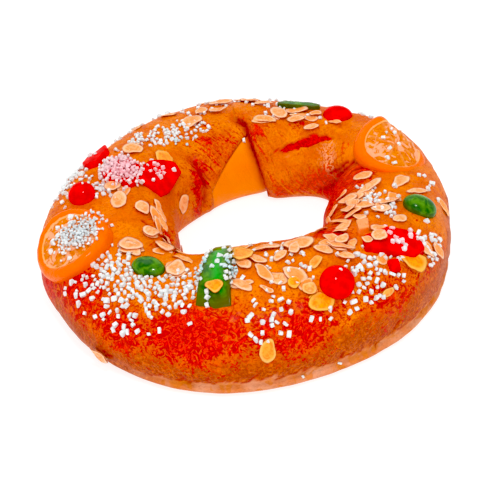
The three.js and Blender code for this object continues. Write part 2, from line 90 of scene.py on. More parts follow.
# The crust is streaked on the hole's side, and all over within some degrees of a place beside the join.
BRUSHED = {"from": 95, "to": 115, "behind": 100, "reach": 60, "full": 45}
ROUGH = {"plain": 0.35, "gold": 0.9, "folds": 0.3, "brushed_folds": 0.7}  # how rough the crust is where
MOST_BAKED = 1.2
GOLD_SHARE = 0.6
WALL_FADE = 30  # degrees from the base over which the wrinkles grow
FACET_EDGE = {"soft": 1.5, "lip": 0.9, "lip_width": 2.2, "ditch": 0.5, "ditch_width": 1.5, "outside": -9}
SPLIT = {"line": [(70, 147), (62, 141), (57, 133), (52, 125.5), (47, 121.5)], "narrow": 0.6, "wide": 4.6,
         "swell": 0.85, "steps": 25, "jagged": 3, "knobs": 1.6, "from": -0.3, "to": 0.5, "deep": 0.9,
         "lip": 0.7, "lip_at": 1.8, "lip_width": 1.4}
# The dark lines in the join's crease, the folds and the cracks are partly deeper-baked glaze and partly
# painted shade.
CREASE = {"jagged": 0.6, "width": 1.7, "from": 96, "fold_share": 0.8, "fold_width": 2}
CRACK = {"jagged": 0.8, "width": 1, "depth": 0.8}
CRACKS = [
    [(250.5, -10), (251.8, -22), (250, -38)], [(258, -14), (257.4, -26), (258, -40)],
    [(270, -16), (268.6, -28), (267.6, -40)], [(293.4, -18), (292.4, -36)],
    [(228, -4), (231, -14), (229.5, -22)], [(312, -10), (310, -24)],
    [(178, 125), (189, 128.5), (199, 135.6), (208, 143), (219, 148)],
    [(194.4, 117), (201.5, 129), (207, 140)], [(27.2, 121.7), (28.6, 138), (35.5, 161.7)],
    [(22.6, 117.5), (20.6, 129.5), (21.1, 144)], [(29.7, 130), (33, 146), (39.3, 163)],
    [(15.3, 107), (18.1, 121.8), (14, 134)], [(120.5, 149), (119.9, 161.6), (117.8, 173)],
]

# ---- how the crust is baked: (ring, side), mm along and across the ring, and how deep, 0 to 1 ----
RED_PATCHES = [
    ((214, 36), 22, 20, 0.9), ((232, 26), 20, 16, 0.8), ((254, 38), 26, 20, 1.0),
    ((283, 30), 22, 18, 0.75), ((310, 26), 26, 20, 0.55), ((332, 22), 22, 16, 0.3),
    # On the wall inside the hole at the right, the patches at (9, 127) and (18, 154) are partly baked red
    # and partly painted shade.
    ((198, 6), 14, 20, 0.75), ((198, 40), 8, 14, 0.8), ((207, 144), 9, 5, 0.6), ((9, 127), 15, 19, 1.15),
    ((18, 154), 10, 26, 1.0), ((82, 116), 4.5, 6, 1.0), ((79, 150), 6, 40, 0.22),
    ((104, 132), 19, 22, 0.36), ((108, 118), 5, 5, 0.45), ((127, 186), 4.5, 23, 0.8),
    ((120, 152), 5, 16, 0.5), ((40, 196), 6, 30, 0.9), ((66, 224), 10, 14, 0.5), ((50, 188), 9, 16, 0.5),
    ((312, 110), 14, 7, 0.8), ((313, 97), 7, 6, 0.7), ((332, 118), 10, 8, 0.6), ((62, 108), 8, 7, 0.45),
    ((268, 24), 62, 24, 0.22), ((120, 18), 50, 18, 0.6), ((65, 16), 44, 20, 0.7), ((20, 10), 30, 14, 0.4),
    ((160, 8), 30, 20, 0.6), ((215, 170), 24, 26, 0.5), ((260, 165), 30, 22, 0.45),
    ((310, 160), 30, 24, 0.5), ((345, 175), 20, 30, 0.55),
]
# Painted sheen: pale greyish pink along the outer rims, standing for the glaze reflecting its white
# surroundings at a grazing angle.
PAINTED_SHEEN_PATCHES = [
    ((0, 2), 70, 6.5, 0.35), ((350, 40), 10, 12, 0.4), ((120, 6), 60, 10, 0.7), ((150, 30), 26, 8, 0.6),
]
# Painted highlights: pale peach flecks on the lobe beside the split, where its lip and bumps catch the
# light.
PAINTED_HIGHLIGHT_PATCHES = [
    ((46.5, 138), 4, 5, 0.7), ((43, 149), 5, 8, 1.0), ((39, 156), 4, 7, 0.6), ((46.5, 127), 3, 3, 1.0),
]
GOLD_PATCHES = [
    ((186, 112), 26, 20, 0.15), ((30, 120), 14, 10, 0.8), ((63, 165), 18, 24, 0.5),
    ((250, 92), 60, 14, 0.6), ((357, 84), 14, 12, 0.6),
]
PALE_FOOT = {"from": 240, "to": 345, "fade": 10, "top": -46, "edge": 2.5, "jagged": 2.6, "line": 0.8,
             "knobs": 1.3, "knobs_at": -42, "knobs_reach": 22}
PALE_HOLE = {"wall": 200, "from": 240, "to": 260, "share": 0.6}
PALE_BASE = 0.8
# Under the widest line, the crust turns ochre from one side angle to another.
LOW_BAND = {"from": 20, "to": 6, "jagged": 2, "below": 90}
EDGE_JAGS = {"grain": 6, "curls": 4, "knobs": 9}  # how far each wrinkle shifts the foot's top, in degrees

# ---- candied fruit, as its solids have it ----
SLICES = [
    {"node": "orange_slice_left", "at": (198, 60), "radius": 25.5, "thick": 9, "spin": 10, "lean": (7, 0),
     "sink": 1.5, "bend": 55, "foot": {"share": 0.97, "depth": 4}, "finish": "candied_orange",
     "sugar": {"count": 26, "centre": (-3, 2), "reach": (14, 14)}},
    {"node": "orange_slice_right", "at": (20.3, 82.5), "radius": 24.5, "thick": 7, "spin": 20,
     "lean": (12, -16), "sink": -1.5, "bend": 36, "foot": {"share": 0.75, "depth": 9},
     "fold": {"towards": -57, "from": 9.5, "radius": 4, "turn": 75}, "finish": "candied_orange",
     "sugar": {"count": 6, "centre": (-5, 4), "reach": (10, 9)}},
]
CHERRIES = [
    {"node": "cherry_red_left", "at": (176.5, 74), "size": (8.8, 8.8, 7.5), "sink": -1.5,
     "finish": "red_fruit"},
    {"node": "cherry_red_front", "at": (296, 57), "size": (10.4, 10.4, 8.6), "sink": -2,
     "finish": "red_fruit"},
    {"node": "cherry_red_back", "at": (53, 82), "size": (10.2, 9.4, 6.2), "sink": 0.5,
     "finish": "red_fruit"},
    {"node": "cherry_green_left", "at": (227, 91.5), "size": (11.5, 8.5, 6.3), "sink": -0.3,
     "finish": "green_fruit"},
    {"node": "cherry_green_right", "at": (346, 62), "size": (9.2, 11.2, 7), "sink": -0.5,
     "finish": "green_fruit"},
]
SLABS = [
    {"node": "red_wedge_left", "at": (152, 61), "thick": 5.5, "sink": 2, "bend": 50, "finish": "red_fruit",
     "outline": [(-12.5, -1), (-5, 6.5), (5, 9), (14, 10), (17, 3), (12, -4), (3.5, -7)]},
    {"node": "red_slab_sugared", "at": (160, 97), "thick": 5, "sink": 1, "bend": 45, "finish": "red_fruit",
     "sugar": {"count": 22, "centre": (2, 0), "reach": (10, 10)},
     "outline": [(-1, -14), (-9, -10), (-9.5, 2), (-6, 10), (7, 15), (15, 11), (17, -4), (8, -13)]},
    {"node": "red_slab_bare", "at": (151, 128), "thick": 5, "sink": 1, "bend": 45, "finish": "red_fruit",
     "sugar": {"count": 8, "centre": (2, -1), "reach": (10, 8)},
     "outline": [(-2, -10), (-10, -4), (-16, 3), (-14, 11), (4, 14), (15, 12), (19, -6), (11, -11)]},
    {"node": "red_slab_right", "at": (326.5, 74), "thick": 5, "sink": 1, "bend": 45, "finish": "red_fruit",
     "sugar": {"count": 9, "centre": (0, -2), "reach": (10, 10)},
     "outline": [(-18, 11), (-27, 4), (-18, -10), (-7, -21), (4, -22), (9.5, -13), (4, -4), (-1, 4),
                 (-9, 7)]},
    {"node": "red_chip_right", "at": (315.5, 48), "thick": 4, "sink": 1, "bend": 45, "finish": "red_fruit",
     "outline": [(-2, 5), (4.5, 2.5), (1, -5), (-5, -2.5)]},
    {"node": "peel_cube_right", "at": (321.3, 92), "thick": 6, "sink": 1, "bend": 45,
     "finish": "candied_peel", "outline": [(1.5, 6), (8, 1.5), (-0.5, -5.5), (-7, -2.5)]},
    {"node": "green_strip_front", "at": (257, 93), "thick": 7, "sink": 0.5, "bend": 42,
     "finish": "green_fruit", "stripe": True, "sugar": {"count": 10, "centre": (0, 0), "reach": (6, 18)},
     "outline": [(-5, 29), (3, 29), (8, 8), (9, -12), (10, -31), (-1, -34), (-12, -30), (-9, -8)]},
    {"node": "green_strip_back", "at": (69.3, 75), "thick": 4.5, "sink": 1.5, "bend": 60,
     "finish": "green_fruit",
     "outline": [(-17, 2), (-8, 3.5), (12, 3), (14, 0), (10, -3.5), (-10, -3.5), (-17, -1)]},
]

# ---- the fruit's fine shape: mm, and shares of a piece's radius, width or thickness ----
NOISE_SHIFT = (17.3, 5.1, 11.7)  # takes each seed's noise from another place
# How uneven each kind is, and how far apart its lumps are. A cherry's are shares of its size.
UNEVEN = {"slice": (0.35, 4.5), "cherry": (0.035, 0.8), "slab": (0.4, 6)}
SLICE = {"points": 96, "rings": 13, "core": 0.06, "flesh": 0.74, "hollow": 1.6, "membranes": 8,
         "membrane": 0.9, "membrane_width": 0.8, "core_width": 0.12, "rind_below": 0.85}
SLICE_RIM = [(0.77, 0.9), (0.8, 0.96), (0.84, 1.0), (0.88, 1.02), (0.92, 1.0), (0.96, 0.92), (0.99, 0.78),
             (1.0, 0.55), (0.995, 0.3), (0.98, 0)]
CHERRY = {"points": 48, "rings": 24, "thin": 0.7, "fade": 2.2}
SLAB_TOP = [(0.1, 1), (0.25, 1), (0.4, 1), (0.55, 1), (0.7, 1), (0.82, 1), (0.9, 1), (0.955, 0.97),
            (0.985, 0.88), (1, 0.7), (1, 0.3)]
SLAB_EDGE = {"round": 1.2, "step": 1.2, "most": 0.4, "arc": 5, "thin_from": 0.62, "thin_to": 0.92,
             "thin": 0.8}
SUNK = 4  # how far a slab goes into the dough
STRIPE = {"width": 3.2, "slant": 0.12, "end": 24, "thin_tip": 0.2}  # the bright skin down a strip

# ---- almond flakes and pearl sugar ----
FLAKE = {"thick": 0.8, "rise": 0.5, "bend": 38, "tilt": 0.35, "curl": 14, "curl_back": 0.35, "pile": 1.4,
         "least": 0.4, "honey": 0.35, "uneven": 3, "lumps": 6.5, "taper": 0.45, "thin_from": 0.6,
         "thin": 0.45}
# Each flake: ring angle, side angle, spin, length, width, and how honeyed it is, where that is given.
FLAKES = [
    (174, 103, 20, 12, 9), (181, 136, 15, 15, 5), (193, 138, 25, 15, 5), (144, 175.5, 85, 15, 10),
    (142, 86, 15, 14, 9), (205, 122, 70, 10, 7), (212, 100, 30, 14, 9), (220, 120, 60, 13, 8),
    (226, 140, 10, 14, 6), (240, 92, 20, 14, 9), (110, 88, 10, 15, 10), (80, 104, 5, 15, 6),
    (74, 92, 70, 14, 8), (66, 92, 10, 15, 7), (88, 60, 0, 16, 8), (61, 96, 0, 12, 6),
    (266, 118, 20, 15, 10), (278, 112, 5, 12, 8), (292, 108, 170, 17, 9), (305, 96, 175, 14, 8, 0.3),
    (279, 78, 150, 14, 9), (287, 66, 20, 10, 8), (289.6, 49, 178, 17, 12, 1.0),
    (273, 17, 75, 16, 9, 0.85), (226.6, -42, 110, 13, 10), (267, 78, 5, 15, 7), (348, 107, 30, 15, 8),
    (342, 92, 10, 17, 9), (321, 108, 10, 16, 7), (349, 85, 40, 12, 8), (311, 86, 30, 14, 6),
    (331, 33, 70, 14, 6), (314, 60, 30, 10, 7), (100, 40, 30, 16, 9), (60, 35, 110, 14, 9),
    (128, 50, 60, 15, 9), (8, 108, 80, 14, 8), (115, 62, 0, 13, 8), (355, 30, 50, 14, 9),
    (80, 20, 90, 15, 9), (35, 20, 20, 14, 8),
]
# Flakes that only lie on the others, on the fruit or loosely on the crust.
LOOSE_FLAKES = [
    (356, 102, 123, 20, 7), (348, 122, 77, 14, 8), (324, 118, 92, 16, 7, 0.2), (345, 88, 124, 15, 8),
    (0, 80, 134, 14, 9), (355, 65, 117, 17, 4), (338, 120, 70, 12, 8), (346, 142, 119, 11, 4),
    (356, 129, 123, 10, 4), (337, 146, 18, 16, 4), (312, 120, 15, 14, 4), (335, 76, 138, 11, 7),
    (338, 91, 122, 13, 9), (306, 87, 128, 18, 5), (298, 107, 127, 10, 7), (294, 82, 35, 11, 7, 0.8),
    (300, 90, 139, 13, 7), (304, 76, 127, 12, 5), (334, 26, 87, 13, 6), (322, 41, 121, 19, 13, 1),
    (329, 39, 121, 18, 5), (287.6, 60, 175, 9, 8, 0.6), (309, 31, 164, 10, 6, 0.8),
    (318.9, 75.5, 20, 11, 10), (324.2, 83, 100, 11, 9), (314.2, 78.5, 60, 7, 7), (352, 104, 140, 10, 7),
    (329, 103, 65, 12, 7), (343, 116, 47, 15, 7), (266.8, 102, 112, 21, 13, 0.9), (279, 110, 179, 18, 11),
    (293.5, 103, 172, 20, 12, 0.1), (266, 78, 145, 19, 8), (275, 84, 114, 19, 7), (285, 77, 123, 17, 10),
    (284, 70, 55, 10, 8, 1), (275, 69, 136, 10, 3), (258.2, 75.5, 161, 11, 9, 1),
    (289.4, 46.5, 178, 16.5, 12, 1), (308, 98, 108, 14, 6), (306, 90, 106, 16, 7), (283, 94, 38, 11, 6),
    (273, 95, 144, 14, 6), (267, 94, 127, 15, 7), (227, -26, 149, 13.5, 10.5, 0.1),
    (315, 104, 103, 14, 5), (290, 98, 60, 14, 7), (310, 92, 20, 12, 7), (350, 116, 70, 14, 7, 0.2),
    (340, 106, 120, 15, 7), (333, 112, 150, 14, 7), (145, 90, 120, 14, 11, 0.1),
    (139, 118, 22, 16, 13, 0.9), (172.5, 94.5, 98, 11, 9), (181, 100, 170, 14, 10),
    (186, 118, 38, 11, 10), (190, 130, 12, 19, 6), (187, 137, 30, 14, 4), (197, 132, 20, 15, 5),
    (204, 122, 100, 11, 10), (216, 126, 173, 16, 11), (212.5, 94, 48, 13, 8), (213, 97, 7, 15, 8),
    (236, 111, 155, 19, 4, 0.3), (211, 98, 39, 16, 13), (238, 95, 98, 14, 12), (208, 139, 167, 15, 4),
    (214, 140, 30, 14, 4), (207, 170, 100, 12, 4), (219, 145, 40, 13, 5, 0.5), (234, 100, 95, 13, 5),
    (58, 114, 25, 11, 5), (66, 102, 6, 13, 6, 0.1), (74, 92, 129, 17, 10), (68, 86, 7, 17, 9),
    (79, 103, 172, 16, 7, 0.2), (60, 90, 12, 9, 5), (98, 84, 171, 13, 6), (110, 90, 19, 18, 12, 0.1),
    (96, 65, 176, 17, 7), (86, 68, 161, 16, 6), (81, 76, 176, 15, 5), (50, 98, 0, 12, 4, 0.3),
    (104, 78, 30, 13, 7),
]

DOUGH = "ring_of_dough"
GRAIN = {"size": 3.0, "clear": 4.6, "rise": 0.7, "apart": 2.9, "drift_rise": 0.5, "small": 0.75,
         "range": 0.5, "uneven": 1.2, "lumps": 2.2, "ball": 0.56, "rounder": 0.35}
GRAIN_STRETCH = [(0.7, 0.6, 0.55), (1.35, 1.05, 0.9)]
FULL_TURN = 6.28
SEED = 6
# Drifts of sugar: the middle, the mm it spreads along and across, and how many grains.
DRIFTS = [
    ((232, 72), 32, 14, 34), ((216, 84), 16, 10, 12), ((238, 42), 36, 10, 9), ((164, 48), 18, 12, 10),
    ((165, 88), 12, 10, 6), ((130, 92), 20, 10, 12), ((106, 84), 16, 8, 7), ((308, 60), 14, 10, 12),
    ((273, 44), 10, 14, 7), ((277, 95), 22, 16, 10), ((343, 94), 14, 12, 8), ((331, 44), 18, 10, 8),
    ((60, 50), 46, 16, 12), ((0, 60), 18, 18, 4),
]
# Denser sugar among them: the middle, mm along and across, how many, how high it heaps, the size of
# its grains against the usual size, and the fruit it lies on, if it isn't on the dough.
HEAPS = [
    ((226, 72), 36, 15, 390, 0.3, 0.9), ((246, 78), 14, 12, 90, 0.3, 0.9),
    ((228, 42), 32, 12, 40, 0, 0.95), ((212, 58), 14, 18, 50, 0, 0.9),
    ((198.5, 69), 10.5, 11.5, 700, 2.2, 0.58, "orange_slice_left"), ((192, 34), 18, 8, 12, 0, 0.9),
    ((165, 96), 14, 13, 520, 2.4, 0.74, "red_slab_sugared"),
    ((152, 124), 9, 9, 12, 0.3, 0.8, "red_slab_bare"), ((118, 98), 22, 9, 90, 0.6, 0.76),
    ((133, 84), 22, 9, 50, 0.4, 0.78), ((172, 66), 10, 12, 50, 0.2, 0.8),
    ((164, 50), 26, 9, 90, 0.2, 0.8), ((174, 90), 10, 10, 50, 0.2, 0.8),
    ((307, 56), 14, 15, 80, 0.3, 0.95), ((302, 38), 14, 8, 22, 0, 0.95), ((274, 46), 13, 14, 26, 0, 0.95),
    ((290, 36), 16, 8, 9, 0, 0.9), ((284, 86), 26, 16, 34, 0, 0.8), ((349, 102), 12, 10, 34, 0.3, 0.8),
    ((338, 88), 8, 7, 22, 0.4, 0.8), ((334, 32), 12, 8, 40, 0, 0.85),
    ((321.5, 62), 3.5, 6, 16, 0.3, 1.0, "red_slab_right"),
    ((328.5, 48), 4, 9, 16, 0.3, 0.9, "red_slab_right"),
    ((331, 62), 3, 8, 10, 0.2, 0.8, "red_slab_right"), ((335, 32), 6, 4, 22, 0.3, 0.85),
    ((250.5, 91), 4, 10, 110, 1.2, 0.7), ((252, 91), 1.8, 8, 40, 1.0, 0.7, "green_strip_front"),
    ((256.2, 68), 1, 5, 5, 0.3, 0.95, "green_strip_front"), ((292.5, -58), 0.5, 0.5, 2, 0, 0.8),
    ((281.7, -61), 0.5, 0.5, 2, 0, 0.8), ((263, 90), 3, 8, 90, 0.8, 0.7),
    ((262, 89), 1.8, 7, 36, 0.8, 0.7, "green_strip_front"),
    ((152, 61), 5, 4, 4, 0, 0.9, "red_wedge_left"), ((22, 80), 8, 6, 4, 0, 0.8, "orange_slice_right"),
    ((89, 125), 0.5, 0.5, 3, 0, 1.0), ((90, 60), 60, 14, 46, 0, 0.8), ((120, 44), 40, 14, 26, 0, 0.8),
    ((68, 94), 24, 8, 16, 0, 0.75), ((0, 50), 20, 20, 5, 0, 0.85), ((316, 44), 10, 12, 12, 0, 0.85),
    # The few grains on the red cherries sit where the cherries show glints: sugar, placed also as painted
    # highlights.
    ((197, 86), 10, 5, 12, 0, 0.8), ((297.2, 61), 1.2, 1.6, 3, 0, 0.75, "cherry_red_front"),
    ((175, 78), 2, 2, 2, 0, 0.6, "cherry_red_left"),
    ((165, 97), 13, 12, 420, 2.2, 0.62, "red_slab_sugared"),
]
# Sugar tinted pink, mostly over the red fruit, and painted bluish shade on sugar that heaps densely:
# the middle, how far it reaches, and how strong it is.
BLUSHES = [((164, 98), 19, 1), ((150, 126), 10, 1), ((326, 72), 15, 1), ((198, 74), 20, 0.15),
           # The pink on the front cherry's grains belongs to that painted highlight.
           ((297, 60), 9, 0.6)]
SHADED_SUGAR_HEAPS = [((251, 91), 9, 1), ((263, 90), 8, 1), ((121, 112), 10, 1), ((198, 74), 20, 0.3)]
TINT_LIFT = 5  # mm over the dough, where the tints have their middles
DROP_HEIGHT = 30  # mm over the dough, from where toppings are dropped

# ---- the stage, in mm and degrees, and its lights, in metres and watts ----
CAMERA = {"aim": (1.9, -11.25, 13.34), "elevation": 37.5, "distance": 1000, "roll": 4.1, "lens": 110.88,
          "sensor": 36}
FLOOR = {"edge": 3000, "grey": 0.3, "rough": 0.8, "glow": 0.8}
SKY = 0.85
BLACK_LEVEL = 0.025
LIGHTS = [
    {"name": "key", "azimuth": 8, "elevation": 68, "distance": 1.3, "size": 0.16, "power": 4.6},
    {"name": "back", "azimuth": 200, "elevation": 50, "distance": 1.5, "size": 0.8, "power": 2},
    {"name": "fill", "azimuth": -5, "elevation": 25, "distance": 1.5, "size": 1.2, "power": 2},
]


# ---- shape of the dough ----

def waved(shape, ring):
    swell = sum(mm * np.cos(count * np.radians(ring - crest)) for count, mm, crest in shape["waves"])
    return shape["size"] + swell


def turned(start, end):
    """The degrees from one ring angle to another, the short way round."""
    return (end - start + 180) % 360 - 180


def ramp(value, start, end):
    """0 at the start and before it, rising to 1 at the end."""
    return np.clip((value - start) / (end - start), 0, 1)


def bell(value, width):
    return np.exp(-((value / width) ** 2))


def across(side):
    dome = np.clip(side, 0, 180)
    return dome * DOME_STEP + (side - dome) * WALL_STEP


def ring_radius(side):
    middle = (OUTER["size"] + HOLE["size"]) / 2
    return middle + (OUTER["size"] - middle) * np.cos(np.radians(np.clip(side, 0, 180)))


def from_line(line, ring, side):
    """How far in mm a place is from a line of places, and on which side, +1 towards smaller ring angles."""
    radius = np.radians(ring_radius(side))
    ahead = turned(ring, line[0][0]) - line[0][0]
    flat = [((ahead + r) * radius, across(s) - across(side)) for r, s in line]
    near = np.full(np.shape(radius), np.inf)
    hand = np.ones(np.shape(radius))
    for (x, y), (next_x, next_y) in zip(flat, flat[1:]):
        dx, dy = next_x - x, next_y - y
        share = np.clip(-(x * dx + y * dy) / (dx * dx + dy * dy), 0, 1)
        away = np.hypot(x + share * dx, y + share * dy)
        hand = np.where(away < near, np.where(x + share * dx > 0, 1, -1), hand)
        near = np.minimum(away, near)
    return near, hand


def patch(place, along, over, ring, side):
    """1 in the middle of a soft round patch on the dough, falling to 0 outside it."""
    x = turned(place[0], ring) * np.radians(ring_radius(side))
    return bell(x, along) * bell(across(side) - across(place[1]), over)


def total(patches, ring, side):
    return sum(deep * patch(place, along, over, ring, side) for place, along, over, deep in patches)


def beside_join(ring, side):
    """How far a place is from the join's crease, on which side, and how wide the smooth face is there."""
    near, hand = from_line(JOIN_CREASE, ring, side)
    return near, hand, JOIN_FACET["width"] * ramp(side, JOIN_FACET["from"], JOIN_FACET["to"])


def join_relief(ring, side):
    near, hand, face = beside_join(ring, side)
    groove = -JOIN_GROOVE["depth"] * bell(near, JOIN_GROOVE["width"])
    lip = JOIN_LIP["height"] * bell(near, JOIN_LIP["width"])
    deep = JOIN_FACET["depth"] * np.minimum((face + 1) / JOIN_FACET["width"] * 2, 1)
    return groove + np.where(hand > 0, lip, -deep * np.maximum(0, 1 - near / (face + 1)))


def relief(ring, side):
    rise = join_relief(ring, side)
    for fold in FOLDS:
        rise = rise - fold["depth"] * bell(from_line(fold["line"], ring, side)[0], fold["width"])
    for swelling in SWELLINGS:
        reach = swelling["along"], swelling["across"]
        rise = rise + swelling["rise"] * patch(swelling["at"], *reach, ring, side)
    return rise


def foot_share(ring, foot=FOOT):
    fade = foot["fade"]
    start = ramp(turned(foot["from"], ring), -fade, fade)
    return np.minimum(start, ramp(turned(ring, foot["to"]), -fade, fade))


def wall_half_width(half, z, widest, foot):
    tuck = half * TUCK * (1 - z / widest) ** 2
    under = BASE_ROUND * np.maximum(0, 1 - z / BASE_ROUND) ** 2
    lip = FOOT["proud"] * bell(z - FOOT["rise"], FOOT["reach"])
    groove = FOOT_GROOVE["depth"] * bell(z - FOOT_GROOVE["rise"], FOOT_GROOVE["reach"])
    return half - tuck - under + foot * (lip - groove)


def on_dough(ring, side, lift=0.0):
    """The points of the dough's skin at ring and side angles, in mm."""
    ring, side = np.broadcast_arrays(np.asarray(ring, float), np.asarray(side, float))
    outer, hole, crown = waved(OUTER, ring), waved(HOLE, ring), waved(CROWN, ring)
    half = (outer - hole) / 2
    widest = WIDEST * crown
    turn = np.radians(np.clip(side, 0, 180))
    dome_x = np.sign(np.cos(turn)) * np.abs(np.cos(turn)) ** (2 / DOME_POWER) * half
    dome_z = widest + (crown - widest) * np.abs(np.sin(turn)) ** (2 / DOME_POWER)
    wall_z = widest * (1 - np.where(side < 0, -side, side - 180) / 90)
    wall_x = np.sign(-side) * wall_half_width(half, wall_z, widest, np.where(side < 0, foot_share(ring), 0))
    dome = (side >= 0) & (side <= 180)
    x, z = np.where(dome, dome_x, wall_x), np.where(dome, dome_z, wall_z)
    push_x, push_z = x / half, np.maximum(0, z - widest) / (crown - widest)
    scale = (relief(ring, side) + lift) / np.hypot(push_x, push_z)
    radius = (outer + hole) / 2 + x + push_x * scale
    turn = np.radians(ring)
    return np.stack([radius * np.cos(turn) - BOX_CENTRE[0], radius * np.sin(turn) - BOX_CENTRE[1],
                     z + push_z * scale], axis=-1)


def unit(vectors):
    return vectors / np.linalg.norm(vectors, axis=-1, keepdims=True)


def dough_axes(ring, side):
    """Along the ring, towards the hole, and out of the dough, at places."""
    step = 1.5
    along = unit(on_dough(np.add(ring, step), side) - on_dough(np.subtract(ring, step), side))
    over = on_dough(ring, np.add(side, 2 * step)) - on_dough(ring, np.subtract(side, 2 * step))
    out = unit(np.cross(along, over))
    return along, np.cross(out, along), out


def placement(piece):
    """The frame that a piece of fruit sits in."""
    ring, side = piece["at"]
    along, towards, out = dough_axes(ring, side)
    place = Matrix(np.column_stack([along, towards, out]).tolist()).to_4x4()
    place.translation = Vector(on_dough(ring, side) - out * piece["sink"])
    lean_x, lean_y = piece.get("lean", (0, 0))
    for degrees, axis in [(lean_x, "X"), (lean_y, "Y"), (piece.get("spin", 0), "Z")]:
        place = place @ Matrix.Rotation(math.radians(degrees), 4, axis)
    return place


# ---- meshes ----

def added(name, data):
    """A new object in the scene."""
    thing = bpy.data.objects.new(name, data)
    bpy.context.scene.collection.objects.link(thing)
    return thing


def keep_values(mesh, values):
    """Keeps numbers or vectors for each point of the mesh, by attribute name."""
    for key, numbers in values.items():
        numbers = np.asarray(numbers, np.float32)
        vectors = numbers.size == 3 * len(mesh.vertices)
        layer = mesh.attributes.new(key, "FLOAT_VECTOR" if vectors else "FLOAT", "POINT")
        layer.data.foreach_set("vector" if vectors else "value", numbers.ravel())


def new_piece(name, points, faces, material, **values):
    """A smooth mesh object from points in mm."""
    mesh = bpy.data.meshes.new(name)
    mesh.from_pydata((np.asarray(points, float) * MM).tolist(), [], faces)
    keep_values(mesh, values)
    mesh.polygons.foreach_set("use_smooth", [True] * len(mesh.polygons))
    mesh.materials.append(material)
    mesh.update()
    return added(name, mesh)


def stand_for(piece, node):
    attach(piece, "root")
    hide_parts(node)


def grid_faces(rows, columns):
    """The four-sided faces of a grid that closes on itself both ways."""
    here = np.arange(rows * columns).reshape(rows, columns)
    beyond = np.roll(here, -1, axis=0)
    corners = [here, beyond, np.roll(beyond, -1, axis=1), np.roll(here, -1, axis=1)]
    return np.stack(corners, axis=-1).reshape(-1, 4).tolist()


def stacked(rings):
    """Rings of points, from the top's middle to the bottom's, closed into one skin."""
    count = len(rings[0])
    points = np.vstack([np.mean(rings[0], axis=0), *rings, np.mean(rings[-1], axis=0)])
    last = len(points) - 1
    faces = []
    for i in range(count):
        j = (i + 1) % count
        faces += [(0, 1 + i, 1 + j), (last, last - count + j, last - count + i)]
        for a in range(1, last - count, count):
            b = a + count
            faces.append((a + i, b + i, b + j, a + j))
    return points, faces


def circle(count):
    return np.linspace(0, 2 * np.pi, count, endpoint=False)


def unevenness(points, size, seed):
    """Smooth noise between about -1 and 1, whose bumps are size mm apart."""
    shift = Vector([step * seed for step in NOISE_SHIFT])
    return np.array([noise.noise(Vector(point) / size + shift) for point in points])


def uneven_top(points, kind, seed):
    """Makes what is over a piece's middle uneven."""
    rise, size = UNEVEN[kind]
    points[:, 2] += rise * unevenness(points, size, seed) * (points[:, 2] > 0)


# ---- node trees ----

def paint(colour):
    """A screen colour, 0 to 255 each, as a shader takes it. A socket stays as it is."""
    if isinstance(colour, bpy.types.NodeSocket):
        return colour
    shares = [value / 255 for value in colour]
    return tuple(s / 12.92 if s <= 0.04045 else ((s + 0.055) / 1.055) ** 2.4 for s in shares) + (1.0,)


class Nodes:
    """A node tree, and the steps that every tree takes."""

    def __init__(self, tree):
        self.tree = tree

    def add(self, kind, inputs=None, **settings):
        node = self.tree.nodes.new(kind)
        for key, value in settings.items():
            setattr(node, key, value)
        for key, value in (inputs or {}).items():
            if isinstance(value, bpy.types.NodeSocket):
                self.tree.links.new(value, node.inputs[key])
            else:
                node.inputs[key].default_value = value
        return node

    def maths(self, operation, *numbers):
        return self.add("ShaderNodeMath", dict(enumerate(numbers)), operation=operation).outputs[0]

    def times(self, first, second):
        return self.maths("MULTIPLY", first, second)


class Finish(Nodes):
    """A material with one Principled shader."""

    def __init__(self, name, sockets):
        self.material = bpy.data.materials.new(name)
        self.material.use_nodes = True
        super().__init__(self.material.node_tree)
        self.tree.nodes.clear()
        self.shader = self.add("ShaderNodeBsdfPrincipled", sockets)
        self.add("ShaderNodeOutputMaterial", {"Surface": self.shader.outputs[0]})
        self.place = self.scaled_places(self.add("ShaderNodeTexCoord").outputs["Object"], [1 / MM] * 3)

    def scaled_places(self, places, scale):
        return self.add("ShaderNodeMapping", {"Vector": places, "Scale": tuple(scale)}).outputs[0]

    def stretched(self, name, sizes):
        """Places from a vector that the mesh keeps, for noise whose lumps are sizes mm."""
        places = self.add("ShaderNodeAttribute", attribute_name=name).outputs["Vector"]
        return self.scaled_places(places, [1 / size for size in sizes])

    def value(self, name):
        return self.add("ShaderNodeAttribute", attribute_name=name).outputs["Fac"]

    def noise(self, size, detail=2.0, distortion=0.0, place=None):
        """Noise whose lumps are about size mm."""
        sockets = {"Vector": place or self.place, "Scale": 1 / size, "Detail": detail,
                   "Distortion": distortion}
        return self.add("ShaderNodeTexNoise", sockets).outputs["Fac"]

    def scaled(self, value, low, high, to_low=0.0, to_high=1.0):
        limits = {"Value": value, "From Min": low, "From Max": high, "To Min": to_low, "To Max": to_high}
        return self.add("ShaderNodeMapRange", limits, interpolation_type="SMOOTHSTEP").outputs[0]

    def band(self, value, middle, width):
        """1 where the value is near the middle, 0 away from it."""
        away = self.maths("ABSOLUTE", self.maths("SUBTRACT", value, middle))
        return self.scaled(away, 0.0, width, 1.0, 0.0)

    def mix(self, share, first, second):
        sockets = {0: share, 6: paint(first), 7: paint(second)}
        return self.add("ShaderNodeMix", sockets, data_type="RGBA").outputs[2]

    def blend(self, value, low, high, first, second):
        """The first colour where the value is low, the second where it is high."""
        return self.mix(self.scaled(value, low, high), first, second)

    def coated(self, base, *coats):
        """Paints the shader with a base, and with coats of (share, colour) over it."""
        for share, coat in coats:
            base = self.mix(share, base, coat)
        self.tree.links.new(base, self.shader.inputs["Base Color"])

    def rough(self, value, low, high):
        self.tree.links.new(self.scaled(value, 0.0, 1.0, low, high), self.shader.inputs["Roughness"])

    def bump(self, height, depth):
        bump = self.add("ShaderNodeBump", {"Height": height, "Distance": depth * MM})
        self.tree.links.new(bump.outputs[0], self.shader.inputs["Normal"])


